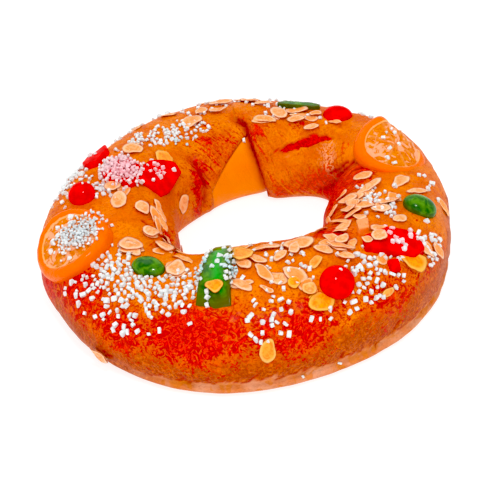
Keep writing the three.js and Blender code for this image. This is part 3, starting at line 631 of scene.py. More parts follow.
class Growth(Nodes):
    """A geometry tree that lays a shape on each point, with named inputs for its sizes."""

    def __init__(self, name, sizes):
        super().__init__(bpy.data.node_groups.new(name, "GeometryNodeTree"))
        new_socket = self.tree.interface.new_socket
        new_socket("Geometry", in_out="INPUT", socket_type="NodeSocketGeometry")
        new_socket("Material", in_out="INPUT", socket_type="NodeSocketMaterial")
        for label, size in sizes.items():
            kind = "NodeSocketInt" if isinstance(size, int) else "NodeSocketFloat"
            new_socket(label, in_out="INPUT", socket_type=kind).default_value = size
        new_socket("Geometry", in_out="OUTPUT", socket_type="NodeSocketGeometry")
        self.given = self.add("NodeGroupInput").outputs
        self.place = self.add("GeometryNodeInputPosition").outputs[0]

    def kept(self, name, kind="FLOAT_VECTOR"):
        """A value that the points carry."""
        node = self.add("GeometryNodeInputNamedAttribute", {"Name": name}, data_type=kind)
        return node.outputs["Attribute"]

    def vectors(self, operation, first, second=(0, 0, 0)):
        sockets = {0: first, "Scale" if operation == "SCALE" else 1: second}
        node = self.add("ShaderNodeVectorMath", sockets, operation=operation)
        return node.outputs["Value" if operation in ("DOT_PRODUCT", "LENGTH") else "Vector"]

    def joined(self, x, y, z=0.0):
        return self.add("ShaderNodeCombineXYZ", {"X": x, "Y": y, "Z": z}).outputs[0]

    def chance(self, least, most):
        """A vector for each point, at random."""
        sockets = {"Min": least, "Max": most, "Seed": self.given["Seed"]}
        return self.add("FunctionNodeRandomValue", sockets, data_type="FLOAT_VECTOR").outputs[0]

    def moved(self, geometry, **where):
        return self.add("GeometryNodeSetPosition", {"Geometry": geometry, **where}).outputs[0]

    def grow(self, shape, turn, size, lumps, droop=(0, 0, 0)):
        """Lays the shape on each point, droops it, makes it uneven in lumps of so many mm, and ends."""
        laid = self.add("GeometryNodeInstanceOnPoints", {
            "Points": self.given["Geometry"], "Instance": shape, "Rotation": turn, "Scale": size})
        real = self.add("GeometryNodeRealizeInstances", {"Geometry": laid.outputs[0]})
        sockets = {"Vector": self.place, "Scale": 1 / (lumps * MM), "Detail": 1.0}
        shift = self.add("ShaderNodeTexNoise", sockets).outputs["Color"]
        shift = self.vectors("SUBTRACT", shift, (0.5, 0.5, 0.5))
        shift = self.vectors("SCALE", shift, self.given["Unevenness"])
        uneven = self.moved(real.outputs[0], Offset=self.vectors("ADD", droop, shift))
        sockets = {"Geometry": uneven, "Material": self.given["Material"]}
        finished = self.add("GeometryNodeSetMaterial", sockets)
        self.add("NodeGroupOutput", {"Geometry": finished.outputs[0]})
        return self.tree


# ---- finishes ----

def glaze(coat, coat_rough, specular=0.5, under=0.0, reach=(1, 1, 1)):
    """Sockets of a glazed finish. reach is the mm that red, green and blue light go under it, unscaled."""
    return {"Coat Weight": coat, "Coat Roughness": coat_rough, "Specular IOR Level": specular,
            "Subsurface Weight": under, "Subsurface Radius": tuple(mm * MM for mm in reach)}


CRUST = {
    "glazed": (244, 130, 8), "amber": (230, 106, 4), "toasted": (222, 90, 4), "ochre": (206, 92, 6),
    "umber": (176, 66, 4), "straw": (222, 112, 18), "orange": (234, 96, 4), "burnt": (212, 70, 2),
    "red": (234, 26, 0), "dark_red": (202, 20, 0), "thread": (246, 100, 6), "line": (176, 44, 0),
    # The pale greyish pink is a painted sheen on the rims.
    # The pale peach is a painted highlight on the lobe.
    "groove": (184, 40, 0), "dust": (224, 148, 100), "fleck": (255, 170, 120), "gold": (255, 150, 2),
    # The crease colour is partly deeper bake and partly painted shade in the hollows.
    # The torn colours are the crust's red, deepened as painted shade inside the split.
    "deep_gold": (250, 130, 0), "crease": (188, 28, 0), "torn": (238, 34, 10), "torn_deep": (200, 6, 0),
    "foot": (236, 160, 120), "foot_shade": (224, 122, 56), "foot_patch": (226, 124, 22),
}


def crust_finish():
    """Egg-glazed crust: orange, baked red in mottled patches, golden where it split, pale at the foot."""
    crust = Finish("glazed_crust", glaze(0.1, 0.3, specular=0.12))
    streaks = crust.noise(1, detail=3, distortion=0.7, place=crust.stretched("unrolled", (2.6, 2.6, 16)))
    curls = crust.noise(4.2, detail=3, distortion=2.0)
    pebbles = crust.noise(1.9, distortion=0.8)
    islands = crust.noise(11, distortion=1.2)
    clouds = crust.noise(14, detail=4)
    baked, brushed, gold = crust.value("baked"), crust.value("brushed"), crust.value("gold")
    plain = crust.maths("SUBTRACT", 1.0, brushed)
    noises = {"streaks": (streaks, brushed), "curls": (curls, plain), "pebbles": (pebbles, 1.0),
              "islands": (islands, 1.0)}

    def with_edges(value, **shares):
        """The value with its edges made jagged by each noise's share."""
        for name, share in shares.items():
            jagged, where = noises[name]
            offset = crust.times(crust.maths("SUBTRACT", jagged, 0.5), where)
            value = crust.maths("ADD", value, crust.times(offset, share))
        return value

    tint = crust.scaled(with_edges(baked, streaks=1.6, curls=0.8, pebbles=0.8), 0.2, 0.44)
    red = crust.scaled(with_edges(baked, streaks=1.5, curls=1.7, pebbles=0.9, islands=1.3), 0.47, 0.55)
    threads = crust.times(crust.band(curls, 0.44, 0.02), crust.scaled(baked, 0.2, 0.7, 0.0, 0.9))
    lines = crust.times(crust.band(crust.noise(7, distortion=1.8), 0.5, 0.012), 0.75)
    lines = crust.times(lines, crust.scaled(plain, 0.0, 1.0, 0.2, 1.0))
    grooves = crust.times(crust.band(streaks, 0.42, 0.03), brushed)
    grooves = crust.times(grooves, crust.scaled(baked, 0.0, 0.4, 0.2, 0.7))
    # Painted sheen: pale greyish pink along the outer rims.
    dusty = crust.times(crust.value("dusty"), crust.scaled(pebbles, 0.4, 0.55, 0.5, 0.9))
    # Painted highlights: pale peach flecks on the lobe by the split.
    highlight_flecks = crust.times(crust.value("flecked"), crust.scaled(curls, 0.49, 0.54))
    ochre = crust.blend(pebbles, 0.42, 0.58, CRUST["ochre"], CRUST["umber"])
    foot = crust.blend(clouds, 0.3, 0.7, CRUST["foot"], CRUST["foot_shade"])
    foot = crust.mix(crust.scaled(islands, 0.5, 0.56, 0.0, 0.7), foot, CRUST["foot_patch"])
    crust.coated(
        crust.blend(clouds, 0.4, 0.6, CRUST["glazed"], CRUST["amber"]),
        (crust.scaled(pebbles, 0.5, 0.64, 0.0, 0.6), CRUST["toasted"]),
        (crust.value("low"), crust.blend(curls, 0.55, 0.62, ochre, CRUST["straw"])),
        (tint, crust.blend(pebbles, 0.45, 0.6, CRUST["orange"], CRUST["burnt"])),
        (red, crust.blend(curls, 0.46, 0.58, CRUST["red"], CRUST["dark_red"])),
        (threads, CRUST["thread"]),
        (lines, CRUST["line"]),
        (grooves, CRUST["groove"]),
        (dusty, CRUST["dust"]),
        (highlight_flecks, CRUST["fleck"]),
        (gold, crust.mix(clouds, CRUST["gold"], CRUST["deep_gold"])),
        # Creases, folds, cracks and the foot's top line: deeper bake and painted shade.
        (crust.value("crease"), CRUST["crease"]),
        # Inside the split: deep red crust, partly painted shade of its depth.
        (crust.value("torn"), crust.blend(curls, 0.42, 0.56, CRUST["torn"], CRUST["torn_deep"])),
        (crust.value("pale"), foot))
    crust.rough(pebbles, 0.42, 0.62)
    height = crust.times(streaks, crust.scaled(brushed, 0.0, 1.0, 0.2, 0.9))
    for part, share in [(pebbles, 0.6), (curls, 0.8), (red, -0.12)]:
        height = crust.maths("ADD", height, crust.times(part, share))
    crust.bump(crust.times(height, crust.scaled(gold, 0.0, 1.0, 1.0, 0.2)), 1.5)
    return crust.material


def orange_finish():
    orange = Finish("candied_orange", glaze(0.15, 0.08, specular=0.08, under=0.1, reach=(6, 3, 1)))
    sacs = orange.noise(3.2, distortion=1.5)
    patches = orange.noise(7, detail=3, distortion=1.0)
    rind = orange.mix(orange.noise(9), (255, 120, 0), (246, 104, 0))
    from_middle = orange.value("from_middle")
    orange.coated(
        orange.blend(sacs, 0.38, 0.62, (222, 112, 2), (232, 132, 10)),
        (orange.scaled(patches, 0.53, 0.57, 0.0, 0.8), (252, 178, 140)),
        (orange.times(orange.value("membrane"), 0.16), (255, 196, 150)),
        (orange.scaled(from_middle, 0.77, 0.8), rind),
        (orange.band(from_middle, 0.76, 0.03), (255, 180, 112)))
    orange.rough(sacs, 0.2, 0.4)
    orange.bump(sacs, 0.4)
    return orange.material


def red_finish():
    red = Finish("red_fruit", glaze(0.22, 0.06, specular=0.0, under=0.1, reach=(6, 0.6, 0.4)))
    cloud = red.noise(6)
    red.coated(red.blend(cloud, 0.3, 0.7, (244, 6, 4), (214, 0, 0)))
    red.rough(cloud, 0.18, 0.32)
    red.bump(red.noise(4), 0.25)
    return red.material


def green_finish():
    green = Finish("green_fruit", glaze(0.4, 0.08, specular=0.1, under=0.2, reach=(2, 5, 0.6)))
    veins = green.noise(6, distortion=0.8)
    green.coated(
        green.blend(veins, 0.36, 0.64, (18, 94, 2), (84, 142, 14)),
        (green.value("stripe"), (0, 160, 4)),
        (green.value("thin"), (92, 88, 6)))
    green.rough(veins, 0.16, 0.34)
    green.bump(veins, 0.3)
    return green.material


def peel_finish():
    peel = Finish("candied_peel", glaze(0.6, 0.08, under=0.4, reach=(6, 3, 1)))
    peel.coated(peel.mix(peel.noise(4), (255, 132, 30), (255, 164, 92)))
    peel.rough(peel.noise(3), 0.2, 0.4)
    return peel.material


def almond_finish():
    almond = Finish("almond_flake", glaze(0.2, 0.25, specular=0.2, under=0.2, reach=(3, 1.5, 1)))
    rim, tone, honey = almond.value("rim"), almond.value("tone"), almond.value("honey")
    grain = almond.noise(3.2, detail=3, distortion=1.5)
    almond.coated(
        almond.blend(grain, 0.42, 0.6, (255, 184, 130), (248, 152, 80)),
        (tone, almond.mix(grain, (252, 160, 70), (240, 130, 40))),
        (honey, almond.blend(grain, 0.42, 0.6, (255, 160, 8), (240, 132, 2))),
        (almond.scaled(rim, 0.6, 0.88, 0.0, 0.9), almond.mix(honey, (255, 206, 170), (255, 190, 80))),
        (almond.scaled(rim, 0.93, 0.98, 0.0, 0.85), (196, 88, 26)))
    almond.rough(grain, 0.35, 0.55)
    almond.bump(grain, 0.25)
    return almond.material


def sugar_finish():
    sugar = Finish("pearl_sugar", glaze(0.2, 0.2, under=0.5, reach=(1, 1, 1)))
    crystals = sugar.noise(1.2)
    sugar.coated(
        # White mottled with bluish grey: the grey is painted shade on the grains.
        sugar.mix(crystals, (250, 248, 246), (206, 216, 218)),
        (sugar.times(sugar.value("blush"), 0.75), (255, 180, 190)),
        # Painted bluish shade on densely heaped sugar.
        (sugar.times(sugar.value("cool"), 0.8), (176, 224, 232)))
    sugar.rough(crystals, 0.35, 0.6)
    sugar.bump(crystals, 0.25)
    return sugar.material


# ---- the dough ----

def dough_places():
    """The grid of ring and side angles, and how far along the flat base each point is, from 0 to 1."""
    sides = np.concatenate([
        np.linspace(-90, 0, DOUGH_GRID["wall"], endpoint=False),
        np.linspace(0, 180, DOUGH_GRID["dome"], endpoint=False),
        np.linspace(180, 270, DOUGH_GRID["wall"] + 1),
        np.full(DOUGH_GRID["base"], 270.0)])
    base = np.zeros(len(sides))
    base[-DOUGH_GRID["base"]:] = np.linspace(0, 1, DOUGH_GRID["base"] + 1, endpoint=False)[1:]
    rings = np.linspace(0, 360, DOUGH_GRID["rings"], endpoint=False)
    ring, side = np.meshgrid(rings, sides, indexing="ij")
    return ring, side, np.broadcast_to(base, ring.shape)


def unrolled(ring, side):
    """Places on a cylinder, turned as the dough was rolled: streaks stretched along z run that way."""
    radius = ring_radius(90)
    turn = np.radians(ring) + TWIST * across(side) / radius
    return np.stack([radius * np.cos(turn), radius * np.sin(turn), across(side)], axis=-1).reshape(-1, 3)


def join_facet(ring, side):
    """How far in mm a place is inside the smooth face where the join opened; negative outside it."""
    near, hand, face = beside_join(ring, side)
    return np.where((hand < 0) & (side > JOIN_FACET["from"]), face - near, FACET_EDGE["outside"])


def inside_split(ring, side):
    """How far in mm a place is inside the split on the lobe, which is wide in its middle."""
    inside = np.full(ring.shape, -np.inf)
    lengths = np.linspace(0, 1, len(SPLIT["line"]))
    for share in np.linspace(0, 1, SPLIT["steps"]):
        at_ring, at_side = (np.interp(share, lengths, values) for values in zip(*SPLIT["line"]))
        swell = math.sin(math.pi * share ** SPLIT["swell"])
        reach = SPLIT["narrow"] + (SPLIT["wide"] - SPLIT["narrow"]) * swell
        x = turned(at_ring, ring) * np.radians(ring_radius(side))
        inside = np.maximum(inside, reach - np.hypot(x, across(side) - across(at_side)))
    return inside


def wrinkles(ring, side):
    """Each kind of wrinkle's noise at places, by name."""
    places = on_dough(ring, side).reshape(-1, 3)
    made = {}
    for name, (size, seed, _) in WRINKLES.items():
        points = unrolled(ring, side) / (1, 1, STREAK) if name == "folds" else places
        made[name] = unevenness(points, size, seed).reshape(ring.shape)
    made["curls"] = 1 - 2 * np.abs(made["curls"])
    return made


def creases(ring, side, noises):
    """How dark the join's crease, the folds and the cracks are, 0 to 1, and each crack alone."""
    # The dark in the crease, folds and cracks is partly deeper-baked glaze and partly painted shade.
    near = from_line(JOIN_CREASE, ring, side)[0]
    crease = bell(near + CREASE["jagged"] * noises["grain"], CREASE["width"]) * (side > CREASE["from"])
    for fold in FOLDS[1:]:
        near = from_line(fold["line"], ring, side)[0] + noises["curls"]
        crease = np.maximum(crease, CREASE["fold_share"] * bell(near, CREASE["fold_width"]))
    cracks = []
    for line in CRACKS:
        near = from_line(line, ring, side)[0]
        cracks.append(bell(near + CRACK["jagged"] * noises["grain"], CRACK["width"]))
    return np.maximum(crease, np.max(cracks, axis=0)), cracks


def paleness(ring, side, base, jags):
    """How pale the foot, the hole's wall and the base are, 0 to 1, and the foot's dark top line."""
    footed = foot_share(ring, PALE_FOOT)
    below_top = PALE_FOOT["top"] + PALE_FOOT["jagged"] * jags - side
    # The foot's dark top line is partly painted shade in the groove there.
    line = PALE_FOOT["line"] * (footed > 0.5) * bell(below_top + PALE_FOOT["edge"], PALE_FOOT["edge"])
    in_hole = np.minimum(ramp(side, PALE_HOLE["from"], PALE_HOLE["to"]), PALE_HOLE["share"])
    pale = np.where(side > PALE_HOLE["wall"], in_hole, footed * ramp(below_top, 0, PALE_FOOT["edge"]))
    return np.where(base > 0, PALE_BASE, pale), line


def make_dough(material):
    """The ring of dough, with what its finish needs to know kept at each point."""
    ring, side, base = dough_places()
    noises = wrinkles(ring, side)
    rise = {name: height * noises[name] for name, (_, _, height) in WRINKLES.items()}
    inside = join_facet(ring, side)
    facet = ramp(inside, 0, FACET_EDGE["soft"])
    baked = np.clip(total(RED_PATCHES, ring, side), 0, MOST_BAKED) * (1 - facet)
    gold = np.clip(np.maximum(facet, GOLD_SHARE * total(GOLD_PATCHES, ring, side)), 0, 1)
    behind = ramp(np.abs(turned(BRUSHED["behind"], ring)), BRUSHED["reach"], BRUSHED["full"])
    brushed = np.maximum(ramp(side, BRUSHED["from"], BRUSHED["to"]), behind)
    rough = np.clip(ROUGH["plain"] + baked - ROUGH["gold"] * gold, 0, 1)
    lift = (rise["lumps"] + rise["knobs"]) * (1 - gold)
    lift += rough * (rise["curls"] + rise["grain"])
    lift += rough * (ROUGH["folds"] + ROUGH["brushed_folds"] * brushed) * rise["folds"]
    lift += FACET_EDGE["lip"] * bell(inside + FACET_EDGE["lip_width"], FACET_EDGE["lip_width"])
    lift -= FACET_EDGE["ditch"] * bell(inside - FACET_EDGE["ditch_width"], FACET_EDGE["ditch_width"])

    # The inside of the split is deep red: partly the crust's colour, partly painted shade of its depth.
    split = inside_split(ring, side) + SPLIT["jagged"] * noises["grain"] + SPLIT["knobs"] * noises["knobs"]
    torn = ramp(split, SPLIT["from"], SPLIT["to"])
    lift += SPLIT["lip"] * bell(split + SPLIT["lip_at"], SPLIT["lip_width"]) - SPLIT["deep"] * torn
    crease, cracks = creases(ring, side, noises)
    for crack in cracks:
        lift -= CRACK["depth"] * crack
    knobbed = bell(side - PALE_FOOT["knobs_at"], PALE_FOOT["knobs_reach"])
    lift += PALE_FOOT["knobs"] * noises["knobs"] * foot_share(ring) * knobbed

    points = on_dough(ring, side, lift * ramp(np.minimum(side + 90, 270 - side), 0, WALL_FADE))
    inner, outer = on_dough(ring[:, :1], 270.0), on_dough(ring[:, :1], -90.0)
    points = np.where((base > 0)[..., None], inner + (outer - inner) * base[..., None], points)
    jags = sum(degrees * noises[name] for name, degrees in EDGE_JAGS.items())
    pale, foot_line = paleness(ring, side, base, jags)
    top = LOW_BAND["jagged"] * jags
    low = np.where(side < LOW_BAND["below"], ramp(side, LOW_BAND["from"] + top, LOW_BAND["to"] + top), 0)
    return new_piece(DOUGH, points.reshape(-1, 3), grid_faces(*ring.shape), material,
                     baked=baked, gold=gold, brushed=brushed, torn=torn, pale=pale, low=low,
                     crease=np.clip(np.maximum(crease, foot_line), 0, 1),
                     flecked=np.clip(total(PAINTED_HIGHLIGHT_PATCHES, ring, side), 0, 1),
                     dusty=np.clip(total(PAINTED_SHEEN_PATCHES, ring, side), 0, 1), unrolled=unrolled(ring, side))


# ---- candied fruit ----

def drooped(points, piece):
    """Bends a piece over the crown, as its solid is."""
    if "bend" not in piece:
        return points
    spin = math.radians(piece.get("spin", 0))
    y = points[:, 0] * math.sin(spin) + points[:, 1] * math.cos(spin)
    points = points - np.outer(y * y / (2 * piece["bend"]), (0, 0, 1))
    return folded_down(points, piece["fold"]) if "fold" in piece else points


def folded_down(points, fold):
    """Turns down what lies beyond the fold's line, round a radius."""
    towards, radius = math.radians(fold["towards"]), fold["radius"]
    way = (math.cos(towards), math.sin(towards), 0)
    beyond = np.maximum(0, points @ np.array(way) - fold["from"])
    turn = np.minimum(beyond / radius, math.radians(fold["turn"]))
    straight = beyond - turn * radius
    height = np.maximum(points[:, 2], -radius)
    out = (radius + height) * np.sin(turn) + straight * np.cos(turn) - beyond
    drop = radius * (1 - np.cos(turn)) + straight * np.sin(turn)
    folded = points + np.outer(out, way)
    folded[:, 2] = points[:, 2] * np.cos(turn) - drop
    return folded


def new_fruit(piece, points, faces, material, **values):
    """A piece of fruit from points in its own frame."""
    place = np.array(placement(piece))
    points = drooped(points, piece) @ place[:3, :3].T + place[:3, 3]
    return new_piece(piece["node"] + "_candied", points, faces, material, **values)


def make_slice(piece, material):
    """A candied orange slice: a raised rind, and flesh in segments with raised membranes."""
    turn, thick = circle(SLICE["points"]), piece["thick"]
    sector = (turn * SLICE["membranes"] / (2 * np.pi)) % 1
    to_membrane = np.minimum(sector, 1 - sector)
    zeros = np.zeros(len(turn))
    levels = []
    for share in np.linspace(SLICE["core"], SLICE["flesh"], SLICE["rings"]):
        away = to_membrane * share * piece["radius"] * 2 * np.pi / SLICE["membranes"]
        membrane = np.maximum(bell(away, SLICE["membrane_width"]), bell(share, SLICE["core_width"]))
        levels.append((share, thick - SLICE["hollow"] + SLICE["membrane"] * membrane, share, membrane))
    for share, height in SLICE_RIM + [(piece["foot"]["share"], -piece["foot"]["depth"] / thick)]:
        shade = share if height >= SLICE["rind_below"] else 1.0
        levels.append((share, zeros + height * thick, shade, zeros))
    around = np.column_stack([np.cos(turn), np.sin(turn)])
    size = (piece["radius"], piece["radius"], 1)
    rings = [np.column_stack([share * around, height]) * size for share, height, _, _ in levels]
    points, faces = stacked(rings)
    uneven_top(points, "slice", 4)
    from_middle = np.concatenate([[0], *[zeros + shade for _, _, shade, _ in levels], [1]])
    membrane = np.concatenate([[1], *[membrane for _, _, _, membrane in levels], [0]])
    return new_fruit(piece, points, faces, material, from_middle=from_middle, membrane=membrane)


def make_cherry(piece, material):
    """A candied cherry, slightly uneven."""
    turn = circle(CHERRY["points"])
    rings = []
    for polar in np.linspace(0, np.pi, CHERRY["rings"] + 2)[1:-1]:
        rings.append(np.column_stack([np.sin(polar) * np.cos(turn), np.sin(polar) * np.sin(turn),
                                      np.full(len(turn), np.cos(polar))]))
    points, faces = stacked(rings)
    points[0], points[-1] = (0, 0, 1), (0, 0, -1)
    rise, size = UNEVEN["cherry"]
    points *= 1 + rise * unevenness(points, size, len(piece["node"]))[:, None]
    low = np.clip(1 - points[:, 2] * CHERRY["fade"], 0, 1)
    return new_fruit(piece, points * piece["size"], faces, material,
                     thin=low * CHERRY["thin"], stripe=np.zeros(len(points)))


def rounded(outline):
    """The outline with its corners rounded and its edges cut into short steps."""
    corners = [np.array(corner, float) for corner in outline]
    points = []
    for i, corner in enumerate(corners):
        following = corners[(i + 1) % len(corners)]
        before, after = corners[i - 1] - corner, following - corner
        start = corner + before * min(SLAB_EDGE["round"] / np.linalg.norm(before), SLAB_EDGE["most"])
        share = min(SLAB_EDGE["round"] / np.linalg.norm(after), SLAB_EDGE["most"])
        end, beyond = corner + after * share, following - after * share
        for t in np.linspace(0, 1, SLAB_EDGE["arc"]):
            points.append((1 - t) ** 2 * start + 2 * t * (1 - t) * corner + t * t * end)
        cuts = max(1, round(np.linalg.norm(beyond - end) / SLAB_EDGE["step"]))
        points += [end + (beyond - end) * cut / cuts for cut in range(1, cuts)]
    return np.array(points)


def make_slab(piece, material):
    """A slab cut from candied fruit, with soft edges and an uneven top."""
    edge = rounded(piece["outline"])
    x, y = edge.T
    if np.sum(x * np.roll(y, -1) - y * np.roll(x, -1)) < 0:
        edge = edge[::-1]
    middle = edge.mean(axis=0)
    levels = [(share, piece["thick"] * height) for share, height in SLAB_TOP] + [(1, -1), (1, -SUNK)]
    ones = np.ones(len(edge))
    rings = [np.column_stack([middle + share * (edge - middle), z * ones]) for share, z in levels]
    points, faces = stacked(rings)
    uneven_top(points, "slab", len(piece["node"]))
    shares = np.concatenate([[0], *[share * ones for share, _ in levels], [1]])
    thin = SLAB_EDGE["thin"] * ramp(shares, SLAB_EDGE["thin_from"], SLAB_EDGE["thin_to"])
    x, y = points[:, 0], points[:, 1]
    stripe = bell(x + STRIPE["slant"] * np.minimum(y, 0), STRIPE["width"]) * (np.abs(y) < STRIPE["end"])
    return new_fruit(piece, points, faces, material, stripe=stripe * piece.get("stripe", False),
                     thin=thin + STRIPE["thin_tip"] * (y < -STRIPE["end"]))


# ---- what lies on the dough and the fruit ----

class Ground:
    """The skin of several pieces, to drop things on."""

    def __init__(self, pieces):
        points, faces, self.owners = [], [], []
        for piece in pieces:
            start = len(points)
            points += [vertex.co / MM for vertex in piece.data.vertices]
            faces += [[start + index for index in face.vertices] for face in piece.data.polygons]
            self.owners += [piece.name] * len(piece.data.polygons)
        self.tree = BVHTree.FromPolygons(points, faces)

    def below(self, start, down):
        """Where something dropped comes to lie, the way out there, and the name of what it lies on."""
        point, normal, face, _ = self.tree.ray_cast(start, down)
        if point is None:
            return None, -down, None
        return point, normal if normal.dot(down) < 0 else -normal, self.owners[face]

    def at(self, ring, side):
        """The same for something dropped straight onto a place of the dough."""
        out = Vector(dough_axes(ring, side)[2])
        start = Vector(on_dough(ring, side))
        point, normal, owner = self.below(start + out * DROP_HEIGHT, -out)
        return (start, out, None) if point is None else (point, normal, owner)


def seeded(seed):
    """Draws from 0 to 1, as the solids' toppings take them."""
    word = 0xFFFFFFFF
    state = seed

    def draw():
        nonlocal state
        state = (state + 0x6D2B79F5) & word
        mixed = ((state ^ (state >> 15)) * (1 | state)) & word
        mixed ^= (mixed + (((mixed ^ (mixed >> 7)) * (61 | mixed)) & word)) & word
        return ((mixed ^ (mixed >> 14)) & word) / 2**32

    return draw


def spread(draw):
    """A number about 0, at random."""
    return draw() + draw() + draw() - 1.5


def scattered(draw, place, along, over):
    """A ring angle and a side angle at random about a place."""
    side = place[1] + spread(draw) * over / DOME_STEP
    return place[0] + spread(draw) * along / np.radians(ring_radius(side)), side


def clear_of(point, others, distance):
    return all((point - other).length > distance for other in others)


def grains_on_fruit(piece, ground, draw):
    """The places of a piece's sugar, dropped along the piece's own axis."""
    sugar = piece["sugar"]
    place = placement(piece)
    down = place.to_3x3() @ Vector((0, 0, -1))
    found = []
    for _ in range(sugar["count"]):
        x, y = (middle + spread(draw) * reach for middle, reach in zip(sugar["centre"], sugar["reach"]))
        draw()
        point = ground.below(place @ Vector((x, y, DROP_HEIGHT)), down)[0]
        if point and clear_of(point, found, GRAIN["clear"]):
            found.append(point)
    return found


def grains_in_drifts(ground, draw):
    found = []
    for place, along, over, count in DRIFTS:
        for _ in range(count):
            ring, side = scattered(draw, place, along, over)
            draw()
            draw()
            point, out, owner = ground.at(ring, side)
            if owner == DOUGH and clear_of(point, found, GRAIN["clear"]):
                found.append(point + out * GRAIN["drift_rise"])
    return found


def grains_in_heaps(ground, draw, taken):
    """Denser sugar: grains keep less distance, and lie on each other where the sugar heaps up."""
    found, sizes = list(taken), [1.0] * len(taken)
    for place, along, over, count, heap, size, *fruit in HEAPS:
        lies_on = fruit[0] + "_candied" if fruit else DOUGH
        for _ in range(count):
            point, out, owner = ground.at(*scattered(draw, place, along, over))
            point = point + out * (GRAIN["rise"] * size + draw() * heap)
            if owner == lies_on and clear_of(point, found, GRAIN["apart"] * size):
                found.append(point)
                sizes.append(size * (GRAIN["small"] + GRAIN["range"] * draw()))
    return found, sizes


def grain_tree():
    """Sugar: an uneven rounded block on each point, turned at random."""
    growth = Growth("pearl_sugar", {"Grain size": GRAIN["size"] * MM, "Unevenness": GRAIN["uneven"] * MM,
                                    "Seed": SEED})
    block = growth.add("GeometryNodeMeshCube", {
        "Size": (1, 1, 1), "Vertices X": 3, "Vertices Y": 3, "Vertices Z": 3})
    ball = growth.vectors("SCALE", growth.vectors("NORMALIZE", growth.place), GRAIN["ball"])
    sockets = {0: GRAIN["rounder"], 4: growth.place, 5: ball}
    rounder = growth.add("ShaderNodeMix", sockets, data_type="VECTOR")
    shaped = growth.moved(block.outputs[0], Position=rounder.outputs[1])
    size = growth.times(growth.kept("share", "FLOAT"), growth.given["Grain size"])
    size = growth.vectors("SCALE", growth.chance(*GRAIN_STRETCH), size)
    turn = growth.chance((0, 0, 0), [FULL_TURN] * 3)
    return growth.grow(shaped, turn, size, GRAIN["lumps"])


def flake_tree():
    """Almond flakes: a thin blunt-ended disc on each point, drooped over the dough and cupped."""
    growth = Growth("almond_flakes", {"Thickness": FLAKE["thick"] * MM, "Unevenness": FLAKE["uneven"] * MM})
    disc = growth.add("GeometryNodeMeshCylinder", {
        "Vertices": 24, "Side Segments": 2, "Fill Segments": 3, "Radius": 0.5, "Depth": 1.0})
    part = growth.add("ShaderNodeSeparateXYZ", {0: growth.place}).outputs
    rim = growth.times(growth.vectors("LENGTH", growth.joined(part["X"], part["Y"])), 2.0)
    marked = growth.add("GeometryNodeStoreNamedAttribute", {
        "Geometry": disc.outputs["Mesh"], "Name": "rim", "Value": rim}, data_type="FLOAT", domain="POINT")
    blunt = growth.maths("MULTIPLY_ADD", part["X"], -FLAKE["taper"], 1.0)
    thin = growth.add("ShaderNodeMapRange", {
        "Value": rim, "From Min": FLAKE["thin_from"], "To Min": 1.0, "To Max": FLAKE["thin"]}).outputs[0]
    outline = growth.joined(part["X"], growth.times(part["Y"], blunt), growth.times(part["Z"], thin))
    smooth = growth.add("GeometryNodeSetShadeSmooth", {
        "Geometry": growth.moved(marked.outputs[0], Position=outline)})
    facing = growth.add("FunctionNodeAxesToRotation", {0: growth.kept("out"), 1: growth.kept("lengthwise")},
                        primary_axis="Z", secondary_axis="X")
    plan = growth.add("ShaderNodeSeparateXYZ", {0: growth.kept("size")}).outputs
    size = growth.joined(plan["X"], plan["Y"], growth.given["Thickness"])
    away = growth.vectors("SUBTRACT", growth.place, growth.kept("middle"))
    over = growth.vectors("DOT_PRODUCT", away, growth.kept("towards"))
    fall = growth.times(growth.times(growth.times(over, over), growth.kept("curve", "FLOAT")), -0.5)
    droop = growth.vectors("SCALE", growth.kept("out"), fall)
    return growth.grow(smooth.outputs[0], facing.outputs[0], size, FLAKE["lumps"], droop)


def grown(name, tree, material, points, seen, **values):
    """The plain mesh that a tree makes on points in mm. Its finish needs the seen ones of their values."""
    seeds = bpy.data.meshes.new(name + "_points")
    seeds.from_pydata([tuple(point * MM) for point in points], [], [])
    keep_values(seeds, values)
    source = added(name + "_points", seeds)
    modifier = source.modifiers.new("grow", "NODES")
    modifier.node_group = tree
    for item in tree.interface.items_tree:
        if item.name == "Material":
            modifier[item.identifier] = material
    mesh = bpy.data.meshes.new_from_object(source.evaluated_get(bpy.context.evaluated_depsgraph_get()))
    mesh.name = name
    for key in values:
        if key in mesh.attributes and key not in seen:
            mesh.attributes.remove(mesh.attributes[key])
    bpy.data.objects.remove(source)
    return added(name, mesh)


def make_sugar(ground, fruit, material):
    draw = seeded(SEED)
    laid = []
    for piece in fruit:
        if "sugar" in piece:
            laid += grains_on_fruit(piece, ground, draw)
    laid += grains_in_drifts(ground, draw)
    laid, sizes = grains_in_heaps(ground, seeded(SEED + 1), laid)
    laid = np.array(laid)
    tints = {}
    for key, heaps in (("blush", BLUSHES), ("cool", SHADED_SUGAR_HEAPS)):
        tints[key] = np.zeros(len(laid))
        for place, reach, strong in heaps:
            away = np.linalg.norm(laid - on_dough(*place, TINT_LIFT), axis=1)
            tints[key] = np.maximum(tints[key], strong * ramp(away, reach, reach / 3))
    return grown("pearl_sugar", grain_tree(), material, laid, tints, share=sizes, **tints)


